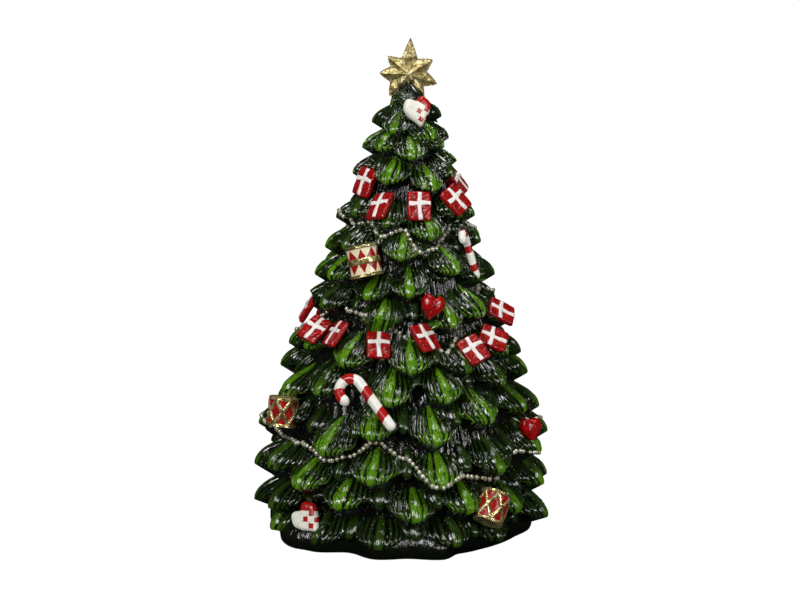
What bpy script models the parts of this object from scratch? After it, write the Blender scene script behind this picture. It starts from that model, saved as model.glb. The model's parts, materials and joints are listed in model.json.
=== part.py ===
"""Lighted table-top Christmas tree: a hollow cast figurine with trim, a light string and a battery base.

Units are metres and +Z is up. The origin lies on the floor under the middle of the tree. The front faces -Y.
An azimuth is in degrees round the tree: 0 is the front, 90 is +X and 180 is the back.
"""

import math

import bmesh
import bpy
from mathutils import Matrix, Vector
from mathutils.bvhtree import BVHTree

MM = 0.001

# Fits
CLEARANCE = 0.3 * MM
CUT_MARGIN = 1.0 * MM

# Cast tree
TREE_HEIGHT = 209.0 * MM
FOOT_REACH = 67.5 * MM
TAPER_START = 42.0 * MM
TOP_REACH = 8.5 * MM
TIP_RADIUS = 1.6 * MM
TOOTH_TOP = 5.0 * MM
TOOTH_FOOT = 11.0 * MM
BOUGH_WIDTH_TOP = 14.5 * MM
BOUGH_WIDTH_FOOT = 26.0 * MM
BOUGH_DROP_TOP = 12.0 * MM
BOUGH_DROP_FOOT = 20.0 * MM
BOUGH_RUN = 0.85
BOUGH_ARCH = 0.3
BOUGH_BEND = 1.4
BOUGH_UNDERCUT = 0.62
BOUGH_CROWN = 3.6 * MM
CROWN_SET_BACK = 0.75
CROWN_DROP = 0.65
BOUGH_ROUNDING = 0.30
BOUGH_ROOT_WIDTH = 0.42
BOUGH_UNDERSIDE_WIDTH = 0.7
BOUGH_ROOTING = 2.0 * MM
BOUGH_STEPS = 2
BOUGH_FACETS = 3
BACK_SPACING = 1.15
BACK_WAVER = 2.0 * MM
BLANK_DETAIL = 0.6

# Heights in the layouts below are those of a tree this tall, and stretch with it
LAYOUT_HEIGHT = 209.0

# Each row is one ring of boughs, top to bottom: azimuth and tip height of every bough in front, then the tip
# height of those that close the ring round the back.
BOUGH_RINGS = (
    (((-90, 191), (-25, 188), (38, 185), (92, 194)), 189),
    (((-90, 179), (-42, 180), (6, 177), (55, 181), (90, 184)), 179),
    (((-88, 167), (-23, 166), (29, 163), (64, 168), (98, 171)), 167),
    (((-90, 146), (-54, 150), (-17, 147), (21, 142), (56, 150), (90, 148)), 148),
    (((-90, 132), (-52, 135), (-3, 133), (36, 126), (76, 137)), 134),
    (((-90, 119), (-58, 121), (-24, 115), (3, 117), (62, 121), (92, 118)), 119),
    (((-90, 106), (-57, 108), (-15, 103), (27, 103), (50, 106), (88, 101)), 104),
    (((-90, 86), (-60, 89), (-30, 85), (4, 84), (33, 83), (63, 87), (92, 83)), 86),
    (((-92, 75), (-68, 66), (-43, 71), (-6, 70), (20, 71), (54, 75), (88, 74)), 72),
    (((-90, 47), (-62, 54), (-32, 46), (-13, 55), (14, 53), (39, 60), (65, 61), (92, 57)), 54),
    (((-88, 28), (-62, 33), (-44, 28), (-12, 35), (16, 34), (42, 38), (68, 42), (95, 44)), 37),
    (((-90, 10), (-62, 14), (-25, 23), (-3, 18), (21, 20), (50, 17), (72, 25), (98, 22)), 19),
    (((-72, 3), (-43, 0), (-9, 2), (17, 2), (46, 3), (80, 5), (110, 3)), 2),
)

# Star
STAR_POINTS = 7
STAR_POINT = 13.2 * MM
STAR_TOP_POINT = 16.4 * MM
STAR_VALLEY = 8.6 * MM
STAR_THICKNESS = 6.4 * MM
STAR_RIM = 1.2 * MM
STAR_LEAN = 4.0
STAR_OFFSET = 1.5 * MM
STAR_RISE = 4.6 * MM
STAR_PEG_RADIUS = 2.0 * MM
STAR_PEG_DEPTH = 20.0 * MM

# Flag plaques
FLAG_WIDTH = 11.0 * MM
FLAG_LENGTH = 13.6 * MM
FLAG_THICKNESS = 3.0 * MM
FLAG_EDGE = 0.5 * MM
CROSS_WIDTH = 2.2 * MM
CROSS_RELIEF = 0.5 * MM
CROSS_ABOVE_MIDDLE = 1.2 * MM
FLAG_SINK = 1.2 * MM
# Each plaque: azimuth, height of its middle, azimuth that it faces, lean back and clockwise turn
UPPER_FLAGS = (
    (-60, 167, -47, 22, 6), (-26, 155, -50, 36, -9), (13, 156, 16, 20, 3), (50, 156, 33, 36, -29),
    (94, 164, 88, 40, 0), (132, 158, 128, 34, -12), (180, 155, 184, 30, 6), (230, 158, 224, 34, 12),
)
LOWER_FLAGS = (
    (-90, 105, -88, 30, 4), (-62, 98, -22, 40, 30), (-39, 98, -70, 40, -10), (-14, 96, 10, 40, 5),
    (10, 99, 22, 32, -14), (39, 93, 9, 36, -30), (60, 97, 24, 40, -60), (82, 104, 43, 40, -52),
    (116, 97, 120, 36, -14), (154, 94, 150, 36, 10), (194, 99, 198, 36, -8), (234, 98, 228, 36, 14),
)

# Drums
DRUM_RADIUS = 7.2 * MM
DRUM_LENGTH = 15.4 * MM
DRUM_RIM = 0.7 * MM
DRUM_RIM_HEIGHT = 2.2 * MM
DRUM_SEGMENTS = 16
DRUM_LEAN = 12.0
DRUM_SINK = 4.0 * MM
DRUMS = ((-34, 132, -12, 1), (-63, 60, 3, 0), (39, 23, 24, 0), (178, 78, 12, 0))

# Hearts
HEART_WIDTH = 12.0 * MM
HEART_THICKNESS = 6.5 * MM
WOVEN_WIDTH = 13.6 * MM
WOVEN_THICKNESS = 5.0 * MM
# Each heart: azimuth, height of its middle, azimuth that it faces and clockwise turn
HEARTS = ((15, 113, 10, 17), (72, 51, 32, 5), (208, 112, 208, -10))
WOVEN_HEARTS = ((22, 194, 18, -15), (-42, 16, -34, -55))
HEART_POINTS = 22
HEART_LEAN = 14.0
HEART_SINK = 2.2 * MM

# Candy canes: azimuth, height and turn, then the straight, the bend radius and the tube radius
CANES = (
    (-15, 68, -42, 26.0, 6.1, 2.7),
    (54, 133, -22, 19.0, 3.9, 2.1),
)
CANE_SWEEP = 214.0
CANE_LEAN = 18.0
CANE_SINK = 1.2 * MM

# Bead garlands: azimuth, height and depth behind the bough tips, in millimetres
BEAD_RADIUS = 0.85 * MM
GARLAND_STEP = 12.0
TOP_GARLAND = (
    (-90, 149, 2), (-66, 145, 1), (-44, 147, 4), (-24, 142, 1), (-3, 146, 1), (13, 136, 1), (27, 137, 1),
    (44, 142, 4), (66, 147, 3), (92, 143, 1), (122, 138, 1), (150, 146, 2), (180, 138, 1), (210, 146, 2),
    (240, 139, 1),
)
MIDDLE_GARLAND = (
    (-90, 92, 1), (-76, 101, 1), (-64, 109, 1), (-50, 109, 1), (-30, 110, 1), (-18, 109, 3), (-6, 106, 4),
    (6, 89, 3), (19, 91, 1), (26, 99, 1), (34, 105, 1), (48, 107, 1), (60, 109, 1), (72, 112, 1),
    (84, 115, 1), (96, 112, 1), (116, 108, 1), (134, 104, 1), (154, 105, 1), (168, 101, 1), (182, 93, 1),
    (194, 85, 1), (212, 88, 1), (234, 86, 1), (254, 90, 1),
)
LOW_GARLAND = (
    (-90, 50, 1), (-76, 45, 1), (-60, 46, 1), (-44, 52, 1), (-34, 43, 1), (-24, 46, 1), (-12, 54, 1),
    (1, 46, 1), (14, 35, 1), (24, 38, 1), (45, 36, 1), (64, 38, 1), (92, 50, 1), (120, 38, 1), (148, 50, 1),
    (178, 42, 1), (206, 50, 1), (238, 37, 1),
)

# Battery base
REBATE_RADIUS = 47.0 * MM
PLATE_RECESS = 1.0 * MM
PLATE_THICKNESS = 3.0 * MM
REBATE_LEDGE = 4.0 * MM
CAVITY_SHOULDER = 64.0 * MM
CAVITY_CEILING = 29.0 * MM
CAVITY_TOP_RADIUS = 6.5 * MM
BOSS_RADIUS = 4.0 * MM
BOSS_ROOTING = 1.0 * MM
BOSS_LENGTH = 12.0 * MM
BOSS_ANGLES = (0.0, 120.0, 240.0)
SCREW_RADIUS = 1.5 * MM
SCREW_LENGTH = 9.0 * MM
SCREW_HEAD_RADIUS = 2.7 * MM
SCREW_HEAD_HEIGHT = 1.5 * MM
HEAD_RECESS = 2.0 * MM

# Battery bay for three AAA cells, which lie along Y
CELL_COUNT = 3
CELL_RADIUS = 5.25 * MM
CELL_LENGTH = 43.7 * MM
CELL_NUB_RADIUS = 1.9 * MM
CELL_NUB_LENGTH = 0.8 * MM
CELL_PITCH = 11.2 * MM
BAY_WALL = 1.5 * MM
SPRING_LENGTH = 4.6 * MM
SPRING_WIRE = 0.30 * MM
SPRING_RADIUS = 3.4 * MM
SPRING_TURNS = 3
CONTACT_THICKNESS = 0.6 * MM
CONTACT_WIDTH = 8.6 * MM
DOOR_THICKNESS = 2.0 * MM
DOOR_TAB_WIDTH = 4.0 * MM
DOOR_TAB_REACH = 1.8 * MM
DOOR_TAB_THICKNESS = 0.8 * MM
DOOR_TAB_SPACING = 20.0 * MM
DOOR_NOTCH_RADIUS = 5.0 * MM
DOOR_NOTCH_DEPTH = 0.9 * MM

# Slide switch
SWITCH_FROM_WALL = 2.9 * MM
SWITCH_WIDTH = 11.5 * MM
SWITCH_DEPTH = 5.5 * MM
SWITCH_HEIGHT = 5.0 * MM
SWITCH_TRAVEL = 4.0 * MM
KNOB_WIDTH = 3.0 * MM
KNOB_DEPTH = 2.6 * MM
KNOB_LENGTH = 2.6 * MM

# Light string
LED_RADIUS = 2.5 * MM
LED_LENGTH = 8.6 * MM
LED_PROUD = 0.45 * MM
BORE_START = 6.0 * MM
LED_TAIL_RADIUS = 1.1 * MM
LED_TAIL_LENGTH = 4.0 * MM
LED_PLACES = ((8, 74), (-130, 86), (125, 100), (-7, 126))
WIRE_RADIUS = 0.8 * MM
WIRE_POINTS = 30
FIRST_RISE = 22.0 * MM

# Places worked out from the sizes above
TAPER = (FOOT_REACH - TOP_REACH) / (TREE_HEIGHT - TAPER_START)
CAVITY_RADIUS = REBATE_RADIUS - REBATE_LEDGE
CAVITY_TOP = TREE_HEIGHT - CAVITY_CEILING
BOSS_CIRCLE = CAVITY_RADIUS - BOSS_RADIUS + BOSS_ROOTING
PLATE_RADIUS = REBATE_RADIUS - CLEARANCE
PLATE_TOP = PLATE_RECESS + PLATE_THICKNESS
SHOULDER = PLATE_TOP + CLEARANCE
DOOR_TOP = PLATE_RECESS + DOOR_THICKNESS
CELL_HEIGHT = DOOR_TOP + CLEARANCE + CELL_RADIUS
BAY_TOP = CELL_HEIGHT + CELL_RADIUS + CLEARANCE
BAY_HALF_WIDTH = (CELL_COUNT - 1) * CELL_PITCH / 2 + CELL_RADIUS + CLEARANCE
CELL_TOTAL = CELL_LENGTH + CELL_NUB_LENGTH
END_ROOM = CONTACT_THICKNESS + 2 * CLEARANCE
BAY_LENGTH = CELL_TOTAL + SPRING_LENGTH + 2 * END_ROOM + CLEARANCE
BAY_HALF_LENGTH = BAY_LENGTH / 2
HINGE_Y = BAY_HALF_LENGTH - CLEARANCE
SWITCH_Y = SWITCH_FROM_WALL + SWITCH_DEPTH / 2 - math.sqrt(CAVITY_RADIUS**2 - (SWITCH_WIDTH / 2) ** 2)
STAR_HEIGHT = TREE_HEIGHT + STAR_RISE


def new_collection(name):
    """Add a collection to the scene."""
    collection = bpy.data.collections.new(name)
    bpy.context.scene.collection.children.link(collection)
    return collection


def clear_scene():
    """Remove whatever the file opened with."""
    for thing in list(bpy.data.objects):
        bpy.data.objects.remove(thing, do_unlink=True)


clear_scene()
TREE = new_collection("christmas_tree_figurine")
CUTTERS = new_collection("cutters")


def material(name, colour, roughness, metallic=0.0):
    """A plain finish, made once and shared by name."""
    found = bpy.data.materials.get(name)
    if found:
        return found
    made = bpy.data.materials.new(name)
    made.use_nodes = True
    shader = made.node_tree.nodes["Principled BSDF"]
    shader.inputs["Base Color"].default_value = (*colour, 1.0)
    shader.inputs["Roughness"].default_value = roughness
    shader.inputs["Metallic"].default_value = metallic
    return made


GREEN = material("green_resin", (0.03, 0.12, 0.02), 0.35)
GOLD = material("gold_leaf", (0.62, 0.44, 0.16), 0.35, 0.8)
RED = material("red_enamel", (0.45, 0.02, 0.02), 0.3)
WHITE = material("white_enamel", (0.8, 0.78, 0.74), 0.35)
SILVER = material("bead_silver", (0.6, 0.58, 0.48), 0.3, 0.9)
BLACK = material("black_abs", (0.02, 0.02, 0.02), 0.5)
STEEL = material("nickelled_steel", (0.6, 0.6, 0.58), 0.3, 1.0)
LENS = material("lamp_epoxy", (0.8, 0.75, 0.6), 0.1)
SLEEVE = material("wire_sleeve", (0.05, 0.12, 0.05), 0.5)
CELL = material("cell_wrap", (0.1, 0.1, 0.12), 0.35, 0.5)


def shade(thing):
    """Smooth the round faces and keep the corners crisp."""
    thing.data.shade_smooth()
    thing.data.set_sharp_from_angle(angle=math.radians(40))


def link(thing, finish):
    """Put an object in the figurine's collection, or among the cutters when it has no finish."""
    for collection in list(thing.users_collection):
        collection.objects.unlink(thing)
    if finish is None:
        CUTTERS.objects.link(thing)
        thing.hide_render = True
        thing.display_type = "WIRE"
    else:
        TREE.objects.link(thing)
        thing.data.materials.clear()
        thing.data.materials.append(finish)
    return thing


def from_bmesh(name, shape, finish=None):
    """Turn a bmesh into a linked object."""
    bmesh.ops.recalc_face_normals(shape, faces=shape.faces)
    mesh = bpy.data.meshes.new(name)
    shape.to_mesh(mesh)
    shape.free()
    return link(bpy.data.objects.new(name, mesh), finish)


def box(name, low, high, finish=None):
    """A cuboid between two corners."""
    shape = bmesh.new()
    bmesh.ops.create_cube(shape, size=1.0)
    size = Vector(high) - Vector(low)
    middle = (Vector(high) + Vector(low)) / 2
    bmesh.ops.scale(shape, vec=size, verts=shape.verts)
    bmesh.ops.translate(shape, vec=middle, verts=shape.verts)
    return from_bmesh(name, shape, finish)


def rod(name, radius, start, end, finish=None, segments=24):
    """A cylinder from one point to another."""
    start = Vector(start)
    axis = Vector(end) - start
    shape = bmesh.new()
    bmesh.ops.create_cone(
        shape, cap_ends=True, segments=segments, radius1=radius, radius2=radius, depth=axis.length
    )
    turn = Vector((0, 0, 1)).rotation_difference(axis).to_matrix().to_4x4()
    bmesh.ops.transform(shape, matrix=Matrix.Translation(start + axis / 2) @ turn, verts=shape.verts)
    return from_bmesh(name, shape, finish)


def turned(name, profile, segments, finish=None):
    """A solid of revolution about +Z from (radius, height) points listed top to bottom."""
    mesh = bpy.data.meshes.new(name)
    points = [(radius, 0.0, height) for radius, height in profile]
    mesh.from_pydata(points, [(i, i + 1) for i in range(len(points) - 1)], [])
    thing = link(bpy.data.objects.new(name, mesh), finish)
    screw = thing.modifiers.new("turn", "SCREW")
    screw.steps = screw.render_steps = segments
    screw.use_merge_vertices = True
    screw.merge_threshold = 0.00001
    return thing


def boolean(thing, operation, operand):
    """Add a Boolean with one object or a whole collection."""
    step = thing.modifiers.new(operation.lower(), "BOOLEAN")
    step.operation = operation
    step.solver = "EXACT"
    if isinstance(operand, bpy.types.Collection):
        step.operand_type = "COLLECTION"
        step.collection = operand
    else:
        step.object = operand
    return step


def cut(thing, *cutters):
    """Take cutters out of an object."""
    for cutter in cutters:
        boolean(thing, "DIFFERENCE", cutter)
    return thing


def join(thing, *others):
    """Fuse other shapes into an object."""
    for other in others:
        boolean(thing, "UNION", other)
    return thing


def evaluated_mesh(thing):
    """The mesh of an object with its modifiers, in world space."""
    bpy.context.view_layer.update()
    graph = bpy.context.evaluated_depsgraph_get()
    mesh = bpy.data.meshes.new_from_object(thing.evaluated_get(graph))
    mesh.transform(thing.matrix_world)
    return mesh


def tube(name, points, radius, finish=None, closed=False, sides=2):
    """A round tube along points, as a mesh with welded caps."""
    curve = bpy.data.curves.new(name, "CURVE")
    curve.dimensions = "3D"
    curve.bevel_depth = radius
    curve.bevel_resolution = sides
    curve.use_fill_caps = not closed
    line = curve.splines.new("POLY")
    line.points.add(len(points) - 1)
    line.use_cyclic_u = closed
    for place, point in zip(line.points, points):
        place.co = (*point, 1.0)
    guide = bpy.data.objects.new(name + "_path", curve)
    bpy.context.scene.collection.objects.link(guide)
    bpy.context.view_layer.update()
    graph = bpy.context.evaluated_depsgraph_get()
    mesh = bpy.data.meshes.new_from_object(guide.evaluated_get(graph))
    world = guide.matrix_world.copy()
    bpy.data.objects.remove(guide, do_unlink=True)
    shape = bmesh.new()
    shape.from_mesh(mesh)
    bmesh.ops.remove_doubles(shape, verts=shape.verts, dist=0.00001)
    made = from_bmesh(name, shape, finish)
    made.matrix_world = world
    return made


def smooth_route(knots, count, closed=False):
    """Points on one smooth curve through the knots, evenly spread over its spans."""
    knots = [Vector(knot) for knot in knots]
    last = len(knots) if closed else len(knots) - 1
    points = []
    for index in range(count + (0 if closed else 1)):
        place = last * index / count
        span = min(int(place), last - 1)
        share = place - span
        ends = []
        for offset in (-1, 0, 1, 2):
            reach = span + offset
            reach = reach % len(knots) if closed else max(0, min(len(knots) - 1, reach))
            ends.append(knots[reach])
        a, b, c, d = ends
        points.append(
            0.5
            * (
                2 * b
                + (c - a) * share
                + (2 * a - 5 * b + 4 * c - d) * share**2
                + (3 * b - a - 3 * c + d) * share**3
            )
        )
    return points


def outward(azimuth):
    """Unit vector away from the axis."""
    angle = math.radians(azimuth)
    return Vector((math.sin(angle), -math.cos(angle), 0.0))


def sideways(azimuth):
    """Unit vector to the right for someone who faces the tree there."""
    angle = math.radians(azimuth)
    return Vector((math.cos(angle), math.sin(angle), 0.0))


def reach(height):
    """How far the bough tips stand from the axis."""
    taper = FOOT_REACH - TAPER * max(0.0, height - TAPER_START)
    return max(TIP_RADIUS, taper)


def level(height):
    """A layout height in metres, stretched with the tree."""
    return height * TREE_HEIGHT / LAYOUT_HEIGHT


def share_up(height):
    """0 at the floor, 1 at the tip of the tree."""
    return min(1.0, max(0.0, height / TREE_HEIGHT))


def between(foot, top, height):
    """A size that runs evenly from its foot value to its top value."""
    return foot + (top - foot) * share_up(height)


def core_radius(height):
    """Radius of the trunk of the casting, behind the boughs."""
    return max(TIP_RADIUS, reach(height) - between(TOOTH_FOOT, TOOTH_TOP, height))


def bough(name, azimuth, tip_height):
    """One drooping bough: a crowned fan lofted from its root to its rounded tip, and back into the trunk."""
    half_width = between(BOUGH_WIDTH_FOOT, BOUGH_WIDTH_TOP, tip_height) / 2
    drop = between(BOUGH_DROP_FOOT, BOUGH_DROP_TOP, tip_height)
    tip_reach = reach(tip_height)
    root_reach = tip_reach - BOUGH_RUN * drop
    inner_reach = max(TIP_RADIUS / 2, min(root_reach, core_radius(tip_height)) - BOUGH_ROOTING)
    fan = 1 - BOUGH_ROOT_WIDTH
    out, side, up = outward(azimuth), sideways(azimuth), Vector((0, 0, 1))
    shape = bmesh.new()
    skins = ([], [])
    for i in range(BOUGH_STEPS + 1):
        rows = ([], [])
        for j in range(BOUGH_FACETS + 1):
            across = 2 * j / BOUGH_FACETS - 1
            along = i / BOUGH_STEPS * (1 - BOUGH_ROUNDING * across**2)
            crown = BOUGH_CROWN * across**2 * (0.4 + 0.6 * along)
            radius = root_reach + (tip_reach - root_reach) * along * (1 + BOUGH_ARCH - BOUGH_ARCH * along)
            radius -= CROWN_SET_BACK * crown
            height = tip_height + drop * (1 - along**BOUGH_BEND) - CROWN_DROP * crown
            opened = math.sin(math.pi / 2 * min(1.0, 1.15 * along))
            spread = across * half_width * (BOUGH_ROOT_WIDTH + fan * opened)
            under = height - BOUGH_UNDERCUT * (radius - inner_reach)
            inner = side * spread * BOUGH_UNDERSIDE_WIDTH
            rows[0].append(shape.verts.new(out * radius + side * spread + up * height))
            rows[1].append(shape.verts.new(out * inner_reach + inner + up * under))
        for skin, row in zip(skins, rows):
            skin.append(row)
    for skin, flip in zip(skins, (False, True)):
        for i in range(BOUGH_STEPS):
            for j in range(BOUGH_FACETS):
                loop = [skin[i][j], skin[i + 1][j], skin[i + 1][j + 1], skin[i][j + 1]]
                shape.faces.new(loop[::-1] if flip else loop)
    top, inner = skins
    rim = (
        [(i, 0) for i in range(BOUGH_STEPS)]
        + [(BOUGH_STEPS, j) for j in range(BOUGH_FACETS)]
        + [(i, BOUGH_FACETS) for i in range(BOUGH_STEPS, 0, -1)]
        + [(0, j) for j in range(BOUGH_FACETS, 0, -1)]
    )
    for (i, j), (k, m) in zip(rim, rim[1:] + rim[:1]):
        shape.faces.new((top[i][j], inner[i][j], inner[k][m], top[k][m]))
    bmesh.ops.triangulate(shape, faces=shape.faces)
    return from_bmesh(name, shape)


def back_count(ring, gap, height):
    """How many boughs close a ring: odd and even in turn, so that each ring covers the gaps of the next."""
    width = between(BOUGH_WIDTH_FOOT, BOUGH_WIDTH_TOP, height)
    count = round(gap / (BACK_SPACING * math.degrees(width / reach(height)))) - 1
    return count if count % 2 == ring % 2 else count + 1


def all_boughs():
    """Azimuth and tip height of every bough, front ones as listed and back ones evenly spread."""
    for ring, (front, back) in enumerate(BOUGH_RINGS):
        for azimuth, tip in front:
            yield ring, azimuth, level(tip)
        last = front[-1][0]
        gap = 360 + front[0][0] - last
        count = back_count(ring, gap, level(back))
        for index in range(1, count + 1):
            waver = BACK_WAVER * math.sin(2.4 * index + ring)
            yield ring, last + gap * index / (count + 1), max(0.0, level(back) + waver)


def core_profile():
    """Outline of the trunk, top to bottom."""
    levels = [TREE_HEIGHT * share for share in (0.975, 0.9, 0.7, 0.5, 0.3)]
    profile = [(0.0, TREE_HEIGHT), (TIP_RADIUS * 1.6, TREE_HEIGHT - 2 * MM)]
    profile += [(core_radius(level), level) for level in levels]
    profile += [(core_radius(TAPER_START), TAPER_START), (core_radius(0.0), 0.0), (0.0, 0.0)]
    return profile


def largest_body(mesh):
    """Drop the loose crumbs that the pockets cut off, and keep the main body."""
    shape = bmesh.new()
    shape.from_mesh(mesh)
    left = set(shape.verts)
    bodies = []
    while left:
        body = {left.pop()}
        front = list(body)
        while front:
            vertex = front.pop()
            for edge in vertex.link_edges:
                other = edge.other_vert(vertex)
                if other in left:
                    left.discard(other)
                    body.add(other)
                    front.append(other)
        bodies.append(body)
    bodies.sort(key=len)
    for body in bodies[:-1]:
        bmesh.ops.delete(shape, geom=list(body), context="VERTS")
    shape.to_mesh(mesh)
    shape.free()
    return mesh


def cast_tree_blank():
    """Trunk and boughs as one mesh, flat at the floor."""
    rings = []
    for index, (ring, azimuth, tip) in enumerate(all_boughs()):
        if ring == len(rings):
            rings.append(bpy.data.collections.new(f"ring_{ring}"))
        made = bough(f"bough_{index}", azimuth, tip)
        rings[ring].objects.link(made)
    blank = turned("tree_blank", core_profile(), 32)
    for ring in rings:
        boolean(blank, "UNION", ring).use_self = True
    slim = blank.modifiers.new("slim", "DECIMATE")
    slim.ratio = BLANK_DETAIL
    floor = box("floor_cut", (-0.1, -0.1, -0.05), (0.1, 0.1, 0.0))
    cut(blank, floor)
    mesh = largest_body(evaluated_mesh(blank))
    for thing in list(CUTTERS.objects):
        bpy.data.objects.remove(thing, do_unlink=True)
    for ring in rings:
        bpy.data.collections.remove(ring)
    return mesh


BLANK = cast_tree_blank()


def seat_frame(azimuth, height, facing, lean, turn, tree, half_width, half_length, sink):
    """Where an ornament sits: its back lies `sink` behind the foremost bough that its outline covers."""
    out, up = outward(azimuth), Vector((0, 0, 1))
    axes = Matrix((sideways(facing), up, outward(facing))).transposed().to_4x4()
    tilt = Matrix.Rotation(-math.radians(lean), 4, "X") @ Matrix.Rotation(math.radians(-turn), 4, "Z")
    place = Matrix.Translation(out * reach(height) + up * height) @ axes @ tilt
    normal = (place.to_3x3() @ Vector((0, 0, 1))).normalized()
    foremost = -TOOTH_FOOT
    for i in range(5):
        for j in range(5):
            local = Vector(((i / 2 - 1) * half_width, (j / 2 - 1) * half_length, FOOT_REACH / 2))
            hit = tree.ray_cast(place @ local, -normal, FOOT_REACH)[3]
            if hit is not None:
                foremost = max(foremost, FOOT_REACH / 2 - hit)
    return Matrix.Translation(out * (foremost - sink) / out.dot(normal)) @ place


def placed(thing, place):
    """Move a shape's mesh to its seat."""
    thing.data.transform(place)
    return thing


def flag(name, place, grow=0.0):
    """A thin plaque with a raised cross, or its pocket when grown."""
    half = Vector((FLAG_WIDTH / 2 + grow, FLAG_LENGTH / 2 + grow, 0))
    low = (-half.x, -half.y, -grow)
    if grow:
        return placed(box(name, low, (half.x, half.y, FLAG_THICKNESS + CROSS_RELIEF + grow)), place)
    plaque = box(name, low, (half.x, half.y, FLAG_THICKNESS), RED)
    arm = CROSS_WIDTH / 2
    inset = FLAG_EDGE
    top = FLAG_THICKNESS + CROSS_RELIEF
    sunk = FLAG_THICKNESS / 2
    across = box(
        name + "_across",
        (inset - half.x, CROSS_ABOVE_MIDDLE - arm, sunk),
        (half.x - inset, CROSS_ABOVE_MIDDLE + arm, top),
    )
    along = box(name + "_along", (-arm, inset - half.y, sunk), (arm, half.y - inset, top))
    join(join(along, across), plaque)
    mesh = evaluated_mesh(along)
    for part in (plaque, across, along):
        bpy.data.objects.remove(part, do_unlink=True)
    made = link(bpy.data.objects.new(name, mesh), RED)
    return placed(made, place)


def drum(name, place, banded, grow=0.0):
    """A toy drum whose axis lies across the view, with a bead at each rim and maybe one at its middle."""
    radius, half = DRUM_RADIUS + grow, DRUM_LENGTH / 2 + grow
    rim = radius + DRUM_RIM
    if grow:
        profile = [(0.0, half), (rim, half), (rim, -half), (0.0, -half)]
    else:
        hoop = DRUM_RIM_HEIGHT
        profile = [(0.0, half - DRUM_RIM), (radius - DRUM_RIM, half - DRUM_RIM), (radius, half), (rim, half)]
        profile += [(rim, half - hoop), (radius, half - hoop)]
        if banded:
            profile += [(radius, hoop / 2), (rim, hoop / 2), (rim, -hoop / 2), (radius, -hoop / 2)]
        profile += [(radius, hoop - half), (rim, hoop - half), (rim, -half), (0.0, -half)]
    made = turned(name, profile, DRUM_SEGMENTS, None if grow else RED)
    mesh = evaluated_mesh(made)
    finish = None if grow else RED
    bpy.data.objects.remove(made, do_unlink=True)
    made = link(bpy.data.objects.new(name, mesh), finish)
    stand = Matrix.Translation((0, 0, DRUM_RADIUS + DRUM_RIM)) @ Matrix.Rotation(-math.pi / 2, 4, "X")
    return placed(made, place @ stand)


def heart_outline(width, count):
    """Points round a heart of the given width, from the classic sine-cubed curve."""
    points = []
    for index in range(count):
        angle = 2 * math.pi * (index + 0.5) / count
        x = 16 * math.sin(angle) ** 3
        y = 13 * math.cos(angle) - 5 * math.cos(2 * angle) - 2 * math.cos(3 * angle) - math.cos(4 * angle)
        points.append(Vector((x, y + 2.0)) * width / 32)
    return points


def heart(name, place, width, thickness, finish, grow=0.0):
    """A puffed heart: its outline lofted through shrinking sections, front and back, to small flats."""
    outline = heart_outline(width, HEART_POINTS)
    swell = (width + 2 * grow) / width
    half = thickness / 2 + grow
    levels = (-1.0, -0.55, 0.55, 1.0)
    shrink = (0.45, 0.97, 0.97, 0.45)
    shape = bmesh.new()
    rings = []
    for level, scale in zip(levels, shrink):
        ring = [shape.verts.new((*(point * scale * swell), thickness / 2 + level * half)) for point in outline]
        rings.append(ring)
    for low, high in zip(rings, rings[1:]):
        for index in range(HEART_POINTS):
            following = (index + 1) % HEART_POINTS
            shape.faces.new((low[index], low[following], high[following], high[index]))
    shape.faces.new(rings[0])
    shape.faces.new(rings[-1])
    bmesh.ops.triangulate(shape, faces=shape.faces)
    return placed(from_bmesh(name, shape, None if grow else finish), place)


def cane(name, place, straight, bend, radius, grow=0.0):
    """A walking-stick sweet: a straight with a hook of the given bend, centred on its own box."""
    turns = 9
    hook = [math.radians(CANE_SWEEP) * index / turns for index in range(turns + 1)]
    stretch = grow / straight
    line = [Vector((0.0, -straight * (1 + stretch), 0.0)), Vector((0.0, -straight / 2, 0.0))]
    line += [Vector((bend * math.cos(angle) - bend, bend * math.sin(angle), 0.0)) for angle in hook]
    if grow:
        line.append(line[-1] + (line[-1] - line[-2]).normalized() * grow)
    middle = Vector((-bend, (bend - straight) / 2, -radius))
    made = tube(name, [point - middle for point in line], radius + grow, None if grow else WHITE)
    return placed(made, place)


def star(name, grow=0.0):
    """The faceted star: two low pyramids of points over a thin rim, and its peg."""
    step = 2 * math.pi / STAR_POINTS
    shape = bmesh.new()
    front, back = [], []
    for index in range(2 * STAR_POINTS):
        angle = index * step / 2
        size = STAR_VALLEY if index % 2 else STAR_TOP_POINT if index == 0 else STAR_POINT
        size += grow * (1.2 if index % 2 else 2.0)
        x, z = size * math.sin(angle), size * math.cos(angle)
        front.append(shape.verts.new((x, -STAR_RIM / 2 - grow, z)))
        back.append(shape.verts.new((x, STAR_RIM / 2 + grow, z)))
    tops = [shape.verts.new((0, sign * (STAR_THICKNESS / 2 + 2 * grow), 0)) for sign in (-1, 1)]
    for index in range(2 * STAR_POINTS):
        following = (index + 1) % (2 * STAR_POINTS)
        shape.faces.new((front[index], front[following], tops[0]))
        shape.faces.new((back[following], back[index], tops[1]))
        shape.faces.new((front[following], front[index], back[index], back[following]))
    made = from_bmesh(name, shape, None if grow else GOLD)
    lean = Matrix.Rotation(math.radians(STAR_LEAN), 4, "Y")
    placed(made, Matrix.Translation((0, STAR_OFFSET, STAR_HEIGHT)) @ lean)
    foot = TREE_HEIGHT - STAR_PEG_DEPTH
    peg = rod(name + "_peg", STAR_PEG_RADIUS + grow, (0, STAR_OFFSET, foot - grow), (0, STAR_OFFSET, STAR_HEIGHT),
              None, 12)
    join(made, peg)
    return made


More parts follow.
